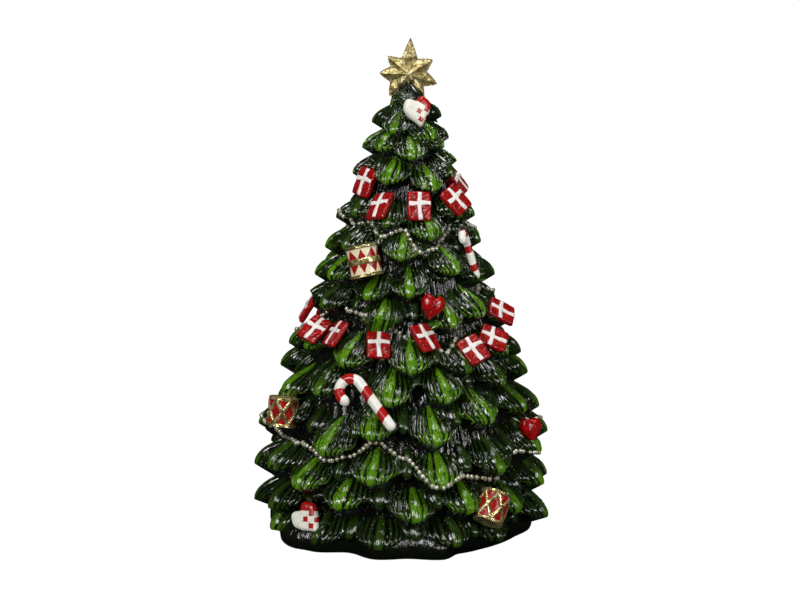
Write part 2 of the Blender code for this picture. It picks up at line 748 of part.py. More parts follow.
def garland_route(knots):
    """Points of a closed swag round the tree, from azimuth, height and depth behind the bough tips."""
    places = [Vector((azimuth, level(height), depth * MM)) for azimuth, height, depth in knots]
    wrap = Vector((360.0, 0.0, 0.0))
    places = [places[-1] - wrap] + places + [places[0] + wrap, places[1] + wrap]
    route = []
    azimuth = places[1].x
    while azimuth < places[1].x + 360.0 - GARLAND_STEP / 2:
        span = max(i for i in range(1, len(places) - 2) if places[i].x <= azimuth)
        start, end = places[span], places[span + 1]
        share = (azimuth - start.x) / (end.x - start.x)
        ease = share * share * (3 - 2 * share)
        height = start.y + (end.y - start.y) * ease
        depth = start.z + (end.z - start.z) * ease
        route.append(outward(azimuth) * (reach(height) - depth) + Vector((0, 0, height)))
        azimuth += GARLAND_STEP
    return route


def cavity_radius(height):
    """Inner radius of the hollow casting."""
    share = (height - CAVITY_SHOULDER) / (CAVITY_TOP - CAVITY_SHOULDER)
    return CAVITY_RADIUS + (CAVITY_TOP_RADIUS - CAVITY_RADIUS) * min(1.0, max(0.0, share))


def cavity():
    """The hollow of the casting with the rebate for the base plate under it."""
    low = -CUT_MARGIN
    profile = [(0.0, CAVITY_TOP + CAVITY_TOP_RADIUS / 2), (CAVITY_TOP_RADIUS, CAVITY_TOP)]
    profile += [(CAVITY_RADIUS, CAVITY_SHOULDER), (CAVITY_RADIUS, SHOULDER)]
    profile += [(REBATE_RADIUS, SHOULDER), (REBATE_RADIUS, low), (0.0, low)]
    return turned("cavity", profile, 36)


def boss_places():
    """Screw axes round the base."""
    for angle in BOSS_ANGLES:
        turn = math.radians(angle)
        yield Vector((BOSS_CIRCLE * math.cos(turn), BOSS_CIRCLE * math.sin(turn), 0.0))


def on_axis(place, height):
    """A point above a place on the floor."""
    return Vector((place.x, place.y, height))


def led_frame(azimuth, height):
    """Start and direction of a lamp: its flange sits in the cavity wall."""
    return outward(azimuth) * (cavity_radius(height) - LED_PROUD) + Vector((0, 0, height)), outward(azimuth)


def build_tree(tree):
    """Ornaments first, with their pockets, then the casting around them."""
    pockets = bpy.data.collections.new("pockets")
    flag_size = (FLAG_WIDTH / 2, FLAG_LENGTH / 2)

    def pocket(thing):
        CUTTERS.objects.unlink(thing)
        pockets.objects.link(thing)

    for row, label in ((UPPER_FLAGS, "upper"), (LOWER_FLAGS, "lower")):
        for index, (azimuth, height, facing, lean, turn) in enumerate(row, 1):
            place = seat_frame(azimuth, level(height), facing, lean, turn, tree, *flag_size, FLAG_SINK)
            flag(f"flag_{label}_{index}", place)
            pocket(flag(f"pocket_flag_{label}_{index}", place, CLEARANCE))
    drum_size = (DRUM_RADIUS / 2, DRUM_LENGTH / 2)
    for index, (azimuth, height, turn, banded) in enumerate(DRUMS, 1):
        place = seat_frame(azimuth, level(height), azimuth, DRUM_LEAN, turn, tree, *drum_size, DRUM_SINK)
        drum(f"drum_{index}", place, banded)
        pocket(drum(f"pocket_drum_{index}", place, banded, CLEARANCE))
    for label, row, width, thick, finish in (
        ("heart", HEARTS, HEART_WIDTH, HEART_THICKNESS, RED),
        ("woven_heart", WOVEN_HEARTS, WOVEN_WIDTH, WOVEN_THICKNESS, WHITE),
    ):
        size = (width / 3, width / 3)
        for index, (azimuth, height, facing, turn) in enumerate(row, 1):
            place = seat_frame(azimuth, level(height), facing, HEART_LEAN, turn, tree, *size, HEART_SINK)
            heart(f"{label}_{index}", place, width, thick, finish)
            pocket(heart(f"pocket_{label}_{index}", place, width, thick, finish, CLEARANCE))
    for index, (azimuth, height, turn, straight, bend, radius) in enumerate(CANES, 1):
        size = (straight * MM / 3, straight * MM / 2)
        place = seat_frame(azimuth, level(height), azimuth, CANE_LEAN, turn, tree, *size, CANE_SINK)
        cane(f"candy_cane_{index}", place, straight * MM, bend * MM, radius * MM)
        pocket(cane(f"pocket_cane_{index}", place, straight * MM, bend * MM, radius * MM, CLEARANCE))
    for label, knots in (("top", TOP_GARLAND), ("middle", MIDDLE_GARLAND), ("low", LOW_GARLAND)):
        route = garland_route(knots)
        tube(f"garland_{label}", route, BEAD_RADIUS, SILVER, True, 1)
        pocket(tube(f"pocket_garland_{label}", route, BEAD_RADIUS + CLEARANCE, None, True, 1))
    for index, (azimuth, height) in enumerate(LED_PLACES, 1):
        start, out = led_frame(azimuth, level(height))
        mouth = out * (FOOT_REACH + CUT_MARGIN) + Vector((0, 0, start.z))
        pocket(rod(f"bore_{index}", LED_RADIUS + CLEARANCE, start - out * BORE_START, mouth, None, 16))
    casting = link(bpy.data.objects.new("tree_casting", BLANK.copy()), GREEN)
    hollow = cavity()
    cut(casting, hollow)
    for index, place in enumerate(boss_places(), 1):
        boss = rod(f"boss_{index}", BOSS_RADIUS, on_axis(place, SHOULDER), on_axis(place, SHOULDER + BOSS_LENGTH),
                   None, 16)
        join(casting, boss)
        top = PLATE_RECESS + HEAD_RECESS + SCREW_LENGTH + CLEARANCE
        pilot = rod(f"pilot_{index}", SCREW_RADIUS + CLEARANCE, on_axis(place, -CUT_MARGIN), on_axis(place, top),
                    None, 12)
        cut(casting, pilot)
    socket = star("star_socket", CLEARANCE)
    cut(casting, socket)
    boolean(casting, "DIFFERENCE", pockets).use_self = True
    mesh = largest_body(evaluated_mesh(casting))
    casting.modifiers.clear()
    casting.data = mesh
    casting.data.materials.clear()
    casting.data.materials.append(GREEN)
    for thing in list(pockets.objects):
        bpy.data.objects.remove(thing, do_unlink=True)
    bpy.data.collections.remove(pockets)
    star("star_topper")


def blank_tree():
    """The blank as a search tree for rays."""
    shape = bmesh.new()
    shape.from_mesh(BLANK)
    tree = BVHTree.FromBMesh(shape)
    shape.free()
    return tree


build_tree(blank_tree())


def build_base_plate():
    """Round plate moulded with its battery bay, screw holes, switch slot and hinge pockets."""
    plate = rod("base_plate", PLATE_RADIUS, (0, 0, PLATE_RECESS), (0, 0, PLATE_TOP), BLACK, 48)
    outer_x, outer_y = BAY_HALF_WIDTH + BAY_WALL, BAY_HALF_LENGTH + BAY_WALL
    bay = box("bay", (-outer_x, -outer_y, PLATE_RECESS + 0.5 * MM), (outer_x, outer_y, BAY_TOP + BAY_WALL))
    hollow = box(
        "bay_hollow",
        (-BAY_HALF_WIDTH, -BAY_HALF_LENGTH, PLATE_RECESS - CUT_MARGIN),
        (BAY_HALF_WIDTH, BAY_HALF_LENGTH, BAY_TOP),
    )
    join(plate, bay)
    cut(plate, hollow)
    for side in (-1, 1):
        middle = side * DOOR_TAB_SPACING / 2
        half = DOOR_TAB_WIDTH / 2 + CLEARANCE
        slot = box(
            f"tab_slot_{side}",
            (middle - half, HINGE_Y - CUT_MARGIN, DOOR_TOP),
            (middle + half, HINGE_Y + DOOR_TAB_REACH + 2 * CLEARANCE, DOOR_TOP + 2 * DOOR_TAB_THICKNESS),
        )
        cut(plate, slot)
    for index, place in enumerate(boss_places(), 1):
        hole = rod(f"screw_hole_{index}", SCREW_RADIUS + CLEARANCE, on_axis(place, 0), on_axis(place, 2 * PLATE_TOP),
                   None, 16)
        sink = rod(
            f"head_recess_{index}",
            SCREW_HEAD_RADIUS + CLEARANCE,
            on_axis(place, PLATE_RECESS - CUT_MARGIN),
            on_axis(place, PLATE_RECESS + HEAD_RECESS),
            None,
            20,
        )
        cut(plate, hole, sink)
    slot_half = (KNOB_WIDTH + SWITCH_TRAVEL) / 2 + CLEARANCE
    slot = box(
        "switch_slot",
        (-slot_half, SWITCH_Y - KNOB_DEPTH / 2 - CLEARANCE, PLATE_RECESS - CUT_MARGIN),
        (slot_half, SWITCH_Y + KNOB_DEPTH / 2 + CLEARANCE, PLATE_TOP + CUT_MARGIN),
    )
    cut(plate, slot)
    return plate


def build_door():
    """Flat lid of the bay with two hook tabs at the hinge edge and a thumb notch at the other."""
    half_x, half_y = BAY_HALF_WIDTH - CLEARANCE, BAY_HALF_LENGTH - CLEARANCE
    door = box("battery_door", (-half_x, -half_y, PLATE_RECESS), (half_x, half_y, DOOR_TOP), BLACK)
    for side in (-1, 1):
        middle = side * DOOR_TAB_SPACING / 2
        tab = box(
            f"door_tab_{side}",
            (middle - DOOR_TAB_WIDTH / 2, half_y - 2 * DOOR_TAB_REACH, DOOR_TOP - DOOR_TAB_THICKNESS),
            (middle + DOOR_TAB_WIDTH / 2, half_y - CLEARANCE, DOOR_TOP + CLEARANCE + DOOR_TAB_THICKNESS),
        )
        hook = box(
            f"door_hook_{side}",
            (middle - DOOR_TAB_WIDTH / 2, half_y - DOOR_TAB_REACH, DOOR_TOP + CLEARANCE),
            (middle + DOOR_TAB_WIDTH / 2, half_y + DOOR_TAB_REACH, DOOR_TOP + CLEARANCE + DOOR_TAB_THICKNESS),
        )
        join(door, tab, hook)
    notch = rod(
        "thumb_notch",
        DOOR_NOTCH_RADIUS,
        (0, -half_y, PLATE_RECESS - CUT_MARGIN),
        (0, -half_y, PLATE_RECESS + DOOR_NOTCH_DEPTH),
    )
    cut(door, notch)
    mesh = evaluated_mesh(door)
    bpy.data.objects.remove(door, do_unlink=True)
    hinge = Vector((0, HINGE_Y, PLATE_RECESS))
    mesh.transform(Matrix.Translation(-hinge))
    door = link(bpy.data.objects.new("battery_door", mesh), BLACK)
    door.location = hinge
    return door


def cell_ends(index):
    """Which way a cell points, and where its nub contact and spring contact stand."""
    way = 1 if index % 2 else -1
    x = (index - (CELL_COUNT - 1) / 2) * CELL_PITCH
    return way, x


def build_cells():
    """Three cells with a contact plate at each nub and a coil spring at each base."""
    for index in range(CELL_COUNT):
        way, x = cell_ends(index)
        wall = way * BAY_HALF_LENGTH
        plate_face = wall - way * (CLEARANCE + CONTACT_THICKNESS)
        nub_tip = plate_face - way * CLEARANCE
        shoulder = nub_tip - way * CELL_NUB_LENGTH
        base = shoulder - way * CELL_LENGTH
        height = CELL_HEIGHT
        profile = [(0.0, 0.0), (CELL_NUB_RADIUS, 0.0), (CELL_NUB_RADIUS, -CELL_NUB_LENGTH)]
        profile += [(CELL_RADIUS, -CELL_NUB_LENGTH), (CELL_RADIUS, -CELL_TOTAL), (0.0, -CELL_TOTAL)]
        cell = turned(f"battery_cell_{index + 1}", profile, 20, CELL)
        cell.location = (x, nub_tip, height)
        cell.rotation_euler = (-way * math.pi / 2, 0, 0)
        half = CONTACT_WIDTH / 2
        low, high = sorted((plate_face, wall - way * CLEARANCE))
        box(f"contact_plate_{index + 1}", (x - half, low, height - half), (x + half, high, height + half), STEEL)
        start = base - way * CLEARANCE
        spring(f"contact_spring_{index + 1}", x, start, -way, height)


def spring(name, x, start, way, height):
    """A coil spring between a cell's base and the end wall, as one unbroken tube."""
    room = SPRING_LENGTH + END_ROOM - CLEARANCE
    per_turn = 9
    count = SPRING_TURNS * per_turn
    run = room - 2 * SPRING_WIRE
    points = []
    for index in range(count + 1):
        angle = 2 * math.pi * index / per_turn
        along = SPRING_WIRE + run * index / count
        radius = SPRING_RADIUS - 0.25 * SPRING_RADIUS * (1 - index / count)
        points.append(
            Vector((x + radius * math.cos(angle), start + way * along, height + radius * math.sin(angle)))
        )
    pitch = run / SPRING_TURNS
    print(f"{name}: least gap between turns {(pitch - 2 * SPRING_WIRE) / MM:.2f} mm")
    tube(name, points, SPRING_WIRE, STEEL, False, 1)


def build_switch():
    """Slide switch over its slot, and the knob that travels in it."""
    base = PLATE_TOP + CLEARANCE
    box(
        "switch_body",
        (-SWITCH_WIDTH / 2, SWITCH_Y - SWITCH_DEPTH / 2, base),
        (SWITCH_WIDTH / 2, SWITCH_Y + SWITCH_DEPTH / 2, base + SWITCH_HEIGHT),
        STEEL,
    )
    left = -SWITCH_TRAVEL / 2
    top = base - CLEARANCE
    knob = box(
        "switch_knob",
        (-KNOB_WIDTH / 2, -KNOB_DEPTH / 2, -KNOB_LENGTH),
        (KNOB_WIDTH / 2, KNOB_DEPTH / 2, 0.0),
        BLACK,
    )
    knob.location = (left, SWITCH_Y, top)
    edges = knob.modifiers.new("edges", "BEVEL")
    edges.width = CLEARANCE
    edges.segments = 1


def build_screws():
    """Self-tapping screws that hold the plate to the bosses."""
    for index, place in enumerate(boss_places(), 1):
        seat = PLATE_RECESS + HEAD_RECESS - CLEARANCE
        profile = [(0.0, SCREW_LENGTH), (SCREW_RADIUS, SCREW_LENGTH - SCREW_RADIUS), (SCREW_RADIUS, 0.0)]
        profile += [(SCREW_HEAD_RADIUS, 0.0), (SCREW_HEAD_RADIUS, -SCREW_HEAD_HEIGHT), (0.0, -SCREW_HEAD_HEIGHT)]
        screw = turned(f"plate_screw_{index}", profile, 16, STEEL)
        screw.location = on_axis(place, seat)


def build_lamps():
    """Lamps in their bores, and the wire that climbs the hollow from one to the next."""
    knots = [Vector((0, 0, BAY_TOP + BAY_WALL + CLEARANCE)), Vector((0, -4 * MM, BAY_TOP + 12 * MM))]
    turn = 0.0
    previous = LED_PLACES[0][0]
    for index, (azimuth, height) in enumerate(LED_PLACES, 1):
        lamp_height = level(height)
        start, out = led_frame(azimuth, lamp_height)
        dome = LED_LENGTH - LED_RADIUS
        arc = [math.radians(30 * step) for step in range(4)]
        profile = [(LED_RADIUS * math.sin(a), dome + LED_RADIUS * math.cos(a)) for a in arc]
        profile += [(LED_RADIUS, 0.0), (LED_TAIL_RADIUS, 0.0), (LED_TAIL_RADIUS, -LED_TAIL_LENGTH)]
        profile += [(0.0, -LED_TAIL_LENGTH)]
        lamp = turned(f"led_{index}", profile, 12, LENS)
        lamp.location = start
        lamp.rotation_euler = Vector((0, 0, 1)).rotation_difference(out).to_euler()
        wire_reach = cavity_radius(lamp_height) - LED_PROUD - LED_TAIL_LENGTH - CLEARANCE - WIRE_RADIUS
        change = (azimuth - previous) % 360.0
        change -= 360.0 if change > 0 and index > 1 else 0.0
        if index > 1:
            lower = level(LED_PLACES[index - 2][1])
            for share in (1 / 3, 2 / 3):
                between_height = lower + (lamp_height - lower) * share
                middle = turn + change * share
                inner = cavity_radius(between_height) - LED_TAIL_LENGTH - LED_RADIUS
                knots.append(outward(middle) * inner + Vector((0, 0, between_height)))
            turn += change
        else:
            turn = azimuth
            knots.append(outward(azimuth) * wire_reach * 0.75 + Vector((0, 0, lamp_height - FIRST_RISE)))
        previous = azimuth
        knots.append(outward(turn) * wire_reach + Vector((0, 0, lamp_height)))
    tube("light_string", smooth_route(knots, WIRE_POINTS), WIRE_RADIUS, SLEEVE)


def finish_shading():
    """Smooth the turned and lofted pieces."""
    for thing in TREE.objects:
        shade(thing)


build_base_plate()
build_door()
build_cells()
build_switch()
build_screws()
build_lamps()
finish_shading()
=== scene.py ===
"""Looks of the lighted table-top Christmas tree, laid out as an add-on and run as a script.

Units are metres and +Z is up. The front faces -Y. An azimuth is in degrees: 0 is the front and 90 is +X.
"""

import json
import math

import bpy
import numpy as np
from bpy.props import FloatProperty, FloatVectorProperty, PointerProperty
from mathutils import Matrix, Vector
from mathutils.bvhtree import BVHTree

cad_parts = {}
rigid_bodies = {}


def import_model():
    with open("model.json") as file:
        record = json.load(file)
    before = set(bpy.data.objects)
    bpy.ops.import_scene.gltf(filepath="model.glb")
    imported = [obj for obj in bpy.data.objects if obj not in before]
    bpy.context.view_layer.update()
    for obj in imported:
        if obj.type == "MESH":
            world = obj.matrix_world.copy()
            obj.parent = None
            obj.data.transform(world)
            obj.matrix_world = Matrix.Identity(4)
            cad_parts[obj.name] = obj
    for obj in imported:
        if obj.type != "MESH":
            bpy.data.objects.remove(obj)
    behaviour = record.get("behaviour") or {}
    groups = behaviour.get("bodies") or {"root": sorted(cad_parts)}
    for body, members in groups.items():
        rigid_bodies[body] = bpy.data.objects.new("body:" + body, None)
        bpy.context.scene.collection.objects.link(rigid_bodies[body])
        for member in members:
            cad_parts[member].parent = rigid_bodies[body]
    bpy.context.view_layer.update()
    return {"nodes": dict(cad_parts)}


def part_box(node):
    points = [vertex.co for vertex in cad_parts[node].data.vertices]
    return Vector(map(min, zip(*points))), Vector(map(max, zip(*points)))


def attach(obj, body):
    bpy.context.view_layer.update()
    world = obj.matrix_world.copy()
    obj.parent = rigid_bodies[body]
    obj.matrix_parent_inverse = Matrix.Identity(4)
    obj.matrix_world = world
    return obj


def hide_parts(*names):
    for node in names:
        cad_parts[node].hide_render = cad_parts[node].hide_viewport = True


bl_info = {
    "name": "Lighted Christmas Tree Figurine",
    "version": (1, 0, 0),
    "blender": (4, 5, 0),
    "location": "3D View > Sidebar > Figurine",
    "description": "Builds the cast tree, its ornaments and finishes, and the studio round the packed model",
    "category": "Object",
}

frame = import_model()

MM = 0.001
ROOT = "root"

# Sizes that the casting repeats from the solid model
TREE_HEIGHT = 209.0 * MM
FOOT_REACH = 67.5 * MM
TAPER_START = 42.0 * MM
TOP_REACH = 8.5 * MM
TIP_RADIUS = 1.6 * MM
TAPER = (FOOT_REACH - TOP_REACH) / (TREE_HEIGHT - TAPER_START)
TOOTH = (11.0 * MM, 5.0 * MM)
REBATE_RADIUS = 47.0 * MM
SHOULDER = 4.3 * MM
CAVITY_RADIUS = 43.0 * MM
CAVITY_SHOULDER = 64.0 * MM
CAVITY_TOP = 180.0 * MM
CAVITY_TOP_RADIUS = 6.5 * MM
BOSS_CIRCLE = 40.0 * MM
BOSS_RADII = (1.8 * MM, 4.0 * MM)
BOSS_LENGTH = 12.0 * MM
BARK_DEPTH = 1.3 * MM
BARK_FROM = 9 * MM
FOOT_CREST = 0.03

# Room that pieces keep from the hollow inside, how high the rebate's room goes, and room over the floor
HOLLOW_CLEAR = 1.5 * MM
REBATE_ROOM = 4 * SHOULDER
FLOOR_CLEAR = 0.3 * MM

# Boughs: width and drop at the foot and at the top, the share of the drop that they run outwards, the arch
# of that run and the bend of the drop, how far their tips flare, and how much higher those in front end
BOUGH_WIDTH = (26.0 * MM, 14.5 * MM)
BOUGH_DROP = (20.0 * MM, 12.0 * MM)
BOUGH_RUN = 1.08
BOUGH_ARCH = -0.13
BOUGH_BEND = 0.95
BOUGH_FLARE = 1.2 * MM
BOUGH_RISE = 2.8 * MM
BOUGH_UNDERCUT = 0.62
BOUGH_UNDERSIDE_WIDTH = 0.7

# The fan of a bough: its width at the root and what it gains, the share of it that closes, and where from
FAN_WIDTH = (0.22, 0.84)
FAN_CLOSING = 0.64
FAN_CLOSES = 0.78
BOUGH_CROWN = 3.6 * MM
BOUGH_SWELL = (2.8 * MM, 1.6 * MM)
BOUGH_SUNK = 2.6 * MM
BOUGH_LOBE = 1.1 * MM

# Ribs: how many a wide or a narrow bough may have, how much the middle one stands out, and their fine grain
WIDE_HALF = 9 * MM
WIDE_RIBS = (9, 9, 11)
NARROW_RIBS = (7, 7, 9)
MIDDLE_RIB = 1.35
GRAIN_DEPTH = 0.08 * MM
SIDE_PAINT = 0.34
MAP_LENGTH = 20 * MM

# Boughs that close a ring round the back: their spacing in widths, and how much their heights waver
BACK_SPACING = 1.15
BACK_WAVER = 2.0 * MM

# One ring of boughs a row, top to bottom: the height of the boughs that close it round the back, then each
# front bough with its azimuth, the height of its tip in millimetres, how bright its middle rib is painted
# and how far that rib stands to the side
BOUGH_RINGS = (
    (199, (-72, 199, 0.4), (-4, 196, 0.5), (70, 199)),
    (189, (-90, 191), (-25, 188, 0.5), (38, 185, 0.9, 0.3), (92, 194)),
    (179, (-90, 179, 0.6), (-42, 180, 0.8), (6, 177, 0.9), (55, 181), (90, 184, 0.2)),
    (167, (-88, 167), (-23, 166, 1, -0.1), (29, 163, 0.75, 0.25), (64, 168), (98, 171, 0.5)),
    (148, (-90, 146), (-54, 150), (-17, 147), (21, 142, 0.9), (56, 150), (90, 148, 0.4)),
    (134, (-90, 132, 0.5), (-52, 135), (-3, 133, 0.9), (36, 126, 0.9, 0.3), (76, 137)),
    (119, (-90, 119, 0.6), (-58, 121, 0.9, -0.3), (-24, 115, 0.5), (3, 117, 0.6), (62, 121), (92, 120)),
    (104, (-90, 106), (-57, 108), (-15, 103, 0.9), (27, 103, 0.7, 0.3), (50, 106, 1, 0.6), (84, 99, 0.4)),
    (86, (-90, 86, 0.5), (-60, 89, 0.4), (-30, 85, 1, -0.5), (4, 84, 0.8), (33, 83), (63, 87, 0.6, 0.5),
     (92, 83)),
    (72, (-92, 75, 0.4), (-68, 66, 0.8), (-43, 71, 0.4), (-6, 70, 1, -0.15), (20, 71, 0.9, 0.1), (54, 75),
     (88, 74, 0.5)),
    (54, (-90, 47), (-62, 54, 0.2), (-32, 46, 0.9, -0.35), (-13, 55, 0.9), (14, 53, 1), (39, 60, 1, 0.45),
     (65, 61, 0.5, 0.2), (92, 57, 0.4)),
    (37, (-88, 28), (-62, 33, 0.5, -0.4), (-44, 28, 0.9), (-12, 35, 0.9), (16, 34, 1), (42, 38, 0.4),
     (68, 42, 0.5), (95, 44, 0.4)),
    (19, (-90, 10), (-62, 14), (-25, 22, 0.7), (5, 18, 0.6, 0.2), (27, 21, 0.8, 0.1), (52, 17, 0.5),
     (72, 25, 0.5), (98, 22, 0.4)),
    (2, (-86, 2, 0.2), (-60, 4, 0.5, -0.3), (-36, 3, 0.1), (-9, 4, 0.2), (21, 5, 0.28, 0.3), (46, 3, 0.1),
     (70, 10), (100, 3)),
)

BACK_BRIGHTNESS = (0.9, 0.35, 0.6, 0.3, 1.0, 0.45, 0.3)

# The short boughs under the star: how far they stand back, and their length
CAP_SINK = 5.8 * MM
CAP_STRETCH = 0.6

# How far the dark boughs behind the gaps of a ring stand back and up; their dark paint is painted shade of
# the gaps
FILLER_SINK = 6.5 * MM
FILLER_RISE = 3.0 * MM
FILLER_STRETCH = 1.3

# The foot's outline by azimuth, its reach in millimetres, and its profile: height and share of that reach
FOOT_OUTLINE = (
    (-180, 62), (-90, 62), (-70, 61.5), (-46, 70), (-38, 68), (-23, 60), (-10, 66), (3, 63), (17, 66.5),
    (27, 60), (42, 59), (62, 59), (80, 62), (110, 62), (180, 62),
)
FOOT_PROFILE = ((0.02, 0.95), (0.8, 1.0), (3.0, 1.01), (6.0, 0.95), (9.5, 0.75), (14.0, 0.35))

# How many millimetres further boughs of the lowest ring reach over the floor, by azimuth, and the other ones
FOOT_SPREAD = {-86: -12, -60: -0.5, -36: -1, -9: -1, 21: -1, 46: -5, 70: 3}
FOOT_DRAWN = -4

# Fineness of a bough's front, across and along
BOUGH_ACROSS = 61
BOUGH_ALONG = 33
FILLER_ACROSS = 41
FILLER_ALONG = 21
BOUGH_BACK_ROWS = (0.25, 0.6, 1.0, 1.6)

# Lamps in the tree: azimuth and height in millimetres, the radius of the well, how far its floor stands out
# from the hollow, and the slope of its side
LED_PLACES = ((8, 74), (-130, 86), (125, 100), (-7, 126))
LED_MOUTH = 3.4 * MM
LED_STAND = 5.5 * MM
LED_SLOPE = 9.0

# Ornaments: direction each faces, how far it leans back, how far it is turned clockwise, then its own
# values. A seat is the half width, half height and depth of the pocket that the boughs leave for it.
FLAG_SIZE = (11.0 * MM, 13.6 * MM, 3.4 * MM)
FLAG_SEAT = (5.8 * MM, 7.2 * MM, 1.9 * MM)
FLAG_ARM = 0.085
FLAG_ROWS = {
    "flag_upper": (
        (-47, 22, 6), (-50, 36, -9, 0.12), (16, 20, 3), (33, 36, -29), (70, 40, -6, 0.1), (128, 34, -12),
        (184, 30, 6, -0.1), (224, 34, 12),
    ),
    "flag_lower": (
        (-88, 30, 4), (-22, 40, 30, 0.14), (-70, 40, -10), (10, 40, 5), (42, 32, -12, -0.2),
        (9, 36, -30, -0.05), (24, 40, -60), (43, 40, -52), (120, 36, -14, 0.1), (150, 36, 10),
        (198, 36, -8), (228, 36, 14, -0.1),
    ),
}
FLAGS = [(f"{row}_{place}", *values) for row, plaques in FLAG_ROWS.items()
         for place, values in enumerate(plaques, 1)]
DRUM_CORDS = 3
DRUM_TEETH = 9
DRUM_RIM = 0.7 * MM
DRUM_RIM_HEIGHT = 1.6 * MM
DRUM_BAND = 1.3 * MM
DRUM_SEAT_DEPTH = 4.0 * MM
DRUMS = (
    ("drum_1", -34, 4, -18, 7.2 * MM, 14.8 * MM, True),
    ("drum_2", -60, 10, -5, 6.4 * MM, 13.8 * MM, False),
    ("drum_3", 39, 12, 33, 6.6 * MM, 15.0 * MM, False),
    ("drum_4", 178, 12, 12, 6.6 * MM, 15.4 * MM, False),
)
HEART_LEAN = 14
HEARTS = (("heart_1", 10, 17), ("heart_2", 32, 5), ("heart_3", 208, -10))
HEART_SIZE = (11.4 * MM, 6.8 * MM)
HEART_PUFF = 0.62
HEART_SEAT = (5.2 * MM, 5.0 * MM, 2.6 * MM)
WOVEN_HEARTS = (("woven_heart_1", 18, -9, 13.2 * MM), ("woven_heart_2", -26, -50, 14.6 * MM))
WOVEN_THICK = 5.0 * MM
WOVEN_PUFF = 0.4
WOVEN_SEAT = (8.2 * MM, 8.2 * MM, 2.2 * MM)
CANE_LEAN = 18
CANE_SWEEP = 226
CANES = (("candy_cane_1", -15, -42, 26.5 * MM, 5.4 * MM, 2.4 * MM, (0.13, 0.33, 0.57, 0.82)),
         ("candy_cane_2", 76, 0, 20.0 * MM, 2.4 * MM, 1.75 * MM, (0.24, 0.50, 0.80)))
CANE_BAND = 0.052

# Small shifts of painted pieces from their solids in millimetres: to the right, up and away from the tree
SHIFTS = {
    "woven_heart_1": (0, 3.2, 0.5), "woven_heart_2": (0.8, -2.8, 4.8), "drum_1": (2.2, -1.8, 0),
    "drum_2": (5, -1.5, 3.4), "drum_3": (-1.2, -2.5, 0.5), "heart_1": (1.8, -0.9, 0.5),
    "heart_2": (-3.7, -0.6, 1), "candy_cane_1": (-2.7, 0.5, 0.5), "candy_cane_2": (0, -1.5, 0.5),
    "flag_upper_1": (-0.5, -3, 0), "flag_upper_4": (3.2, 1.2, 0), "flag_upper_5": (-1, -1.4, 1.6),
    "flag_lower_1": (0, -3.5, 0), "flag_lower_2": (1.5, -1.4, 0), "flag_lower_3": (-5, -1.4, 0),
    "flag_lower_4": (-2, -2.2, 0), "flag_lower_5": (1.6, -0.6, 1), "flag_lower_6": (1.3, -1, 0),
    "flag_lower_7": (1.2, -3, 0), "flag_lower_8": (-1.2, -1.3, 0),
}

# Swags of beads: azimuth, height in millimetres and depth behind the bough tips
GARLAND_TOP = (
    (-90, 149, 2), (-66, 145, 1), (-44, 147, 4), (-24, 142, 1), (-3, 146, 1), (13, 136, 1), (27, 137, 1),
    (44, 142, 7), (66, 147, 8), (92, 143, 1), (122, 138, 1), (150, 146, 2), (180, 138, 1), (210, 146, 2),
    (240, 139, 1),
)
GARLAND_MIDDLE = (
    (-90, 92, 1), (-76, 101, 8), (-64, 109, 8), (-46, 109, 8), (-41, 108, 1), (-27, 108, 1), (-20, 109, 8),
    (-6, 101, 9), (6, 96, 9), (18, 95, 8), (25, 92, 1), (33, 97, 1), (38, 102, 8), (50, 107, 8),
    (72, 112, 8), (84, 115, 8), (98, 112, 8), (116, 108, 1), (134, 104, 1), (154, 105, 1), (168, 101, 1),
    (182, 93, 1), (194, 85, 1), (212, 88, 1), (234, 86, 1), (254, 90, 1),
)
GARLAND_LOW = (
    (-90, 50, 1), (-76, 45, 8), (-60, 46, 8), (-44, 47, 1), (-34, 43, 1), (-24, 46, 1), (-12, 54, 1),
    (1, 47, 1), (14, 35, 1), (24, 38, 1), (45, 34, 1), (49, 36, 8), (53, 43, 8), (56, 44, 1), (70, 41, 1),
    (78, 42, 8), (92, 50, 1), (120, 38, 1), (148, 50, 1), (178, 42, 1), (206, 50, 1), (238, 37, 1),
)
GARLANDS = {"garland_top": GARLAND_TOP, "garland_middle": GARLAND_MIDDLE, "garland_low": GARLAND_LOW}
GARLAND_HIDDEN = 5.0 * MM
BEAD_RADIUS = 1.12 * MM
BEAD_STEP = 2.6 * MM
BEAD_STRAY = 0.32
THREAD_RADIUS = 0.12 * MM

# Star: tip angles clockwise from the top with their reach, and the reach of the valley after each
STAR_CENTRE = (0.0, 1.5 * MM, 213.6 * MM)
STAR_LEAN = 4
STAR_TIPS = ((-1.7, 17.6, 8.0), (55.5, 13.8, 8.6), (106, 15.2, 9.4), (146, 15.6, 9.0), (215, 14.8, 9.4),
             (265.5, 14.4, 8.8), (304.5, 13.3, 7.8))
STAR_THICK = 6.4 * MM
STAR_RIM = 1.2 * MM
STAR_PEG = (2.0 * MM, 189.0 * MM, 211.0 * MM)

# Studio: half the floor's width, its greys for light and in mirrors, its glow and the share of it that shows
STUDIO_SIZE = 6.0
FLOOR_DROP = 0.02 * MM
FLOOR_GREY = (0.3, 0.3, 0.3)
FLOOR_MIRRORED = (0.02, 0.02, 0.02)
FLOOR_GLOW = 1.18
FLOOR_SHOWN = 0.85
WHITE = (1.0, 1.0, 1.0)

# The sky's light on the tree, and how much less of it mirrors show
SKY_LIGHT = 0.3
SKY_UNMIRRORED = 0.27

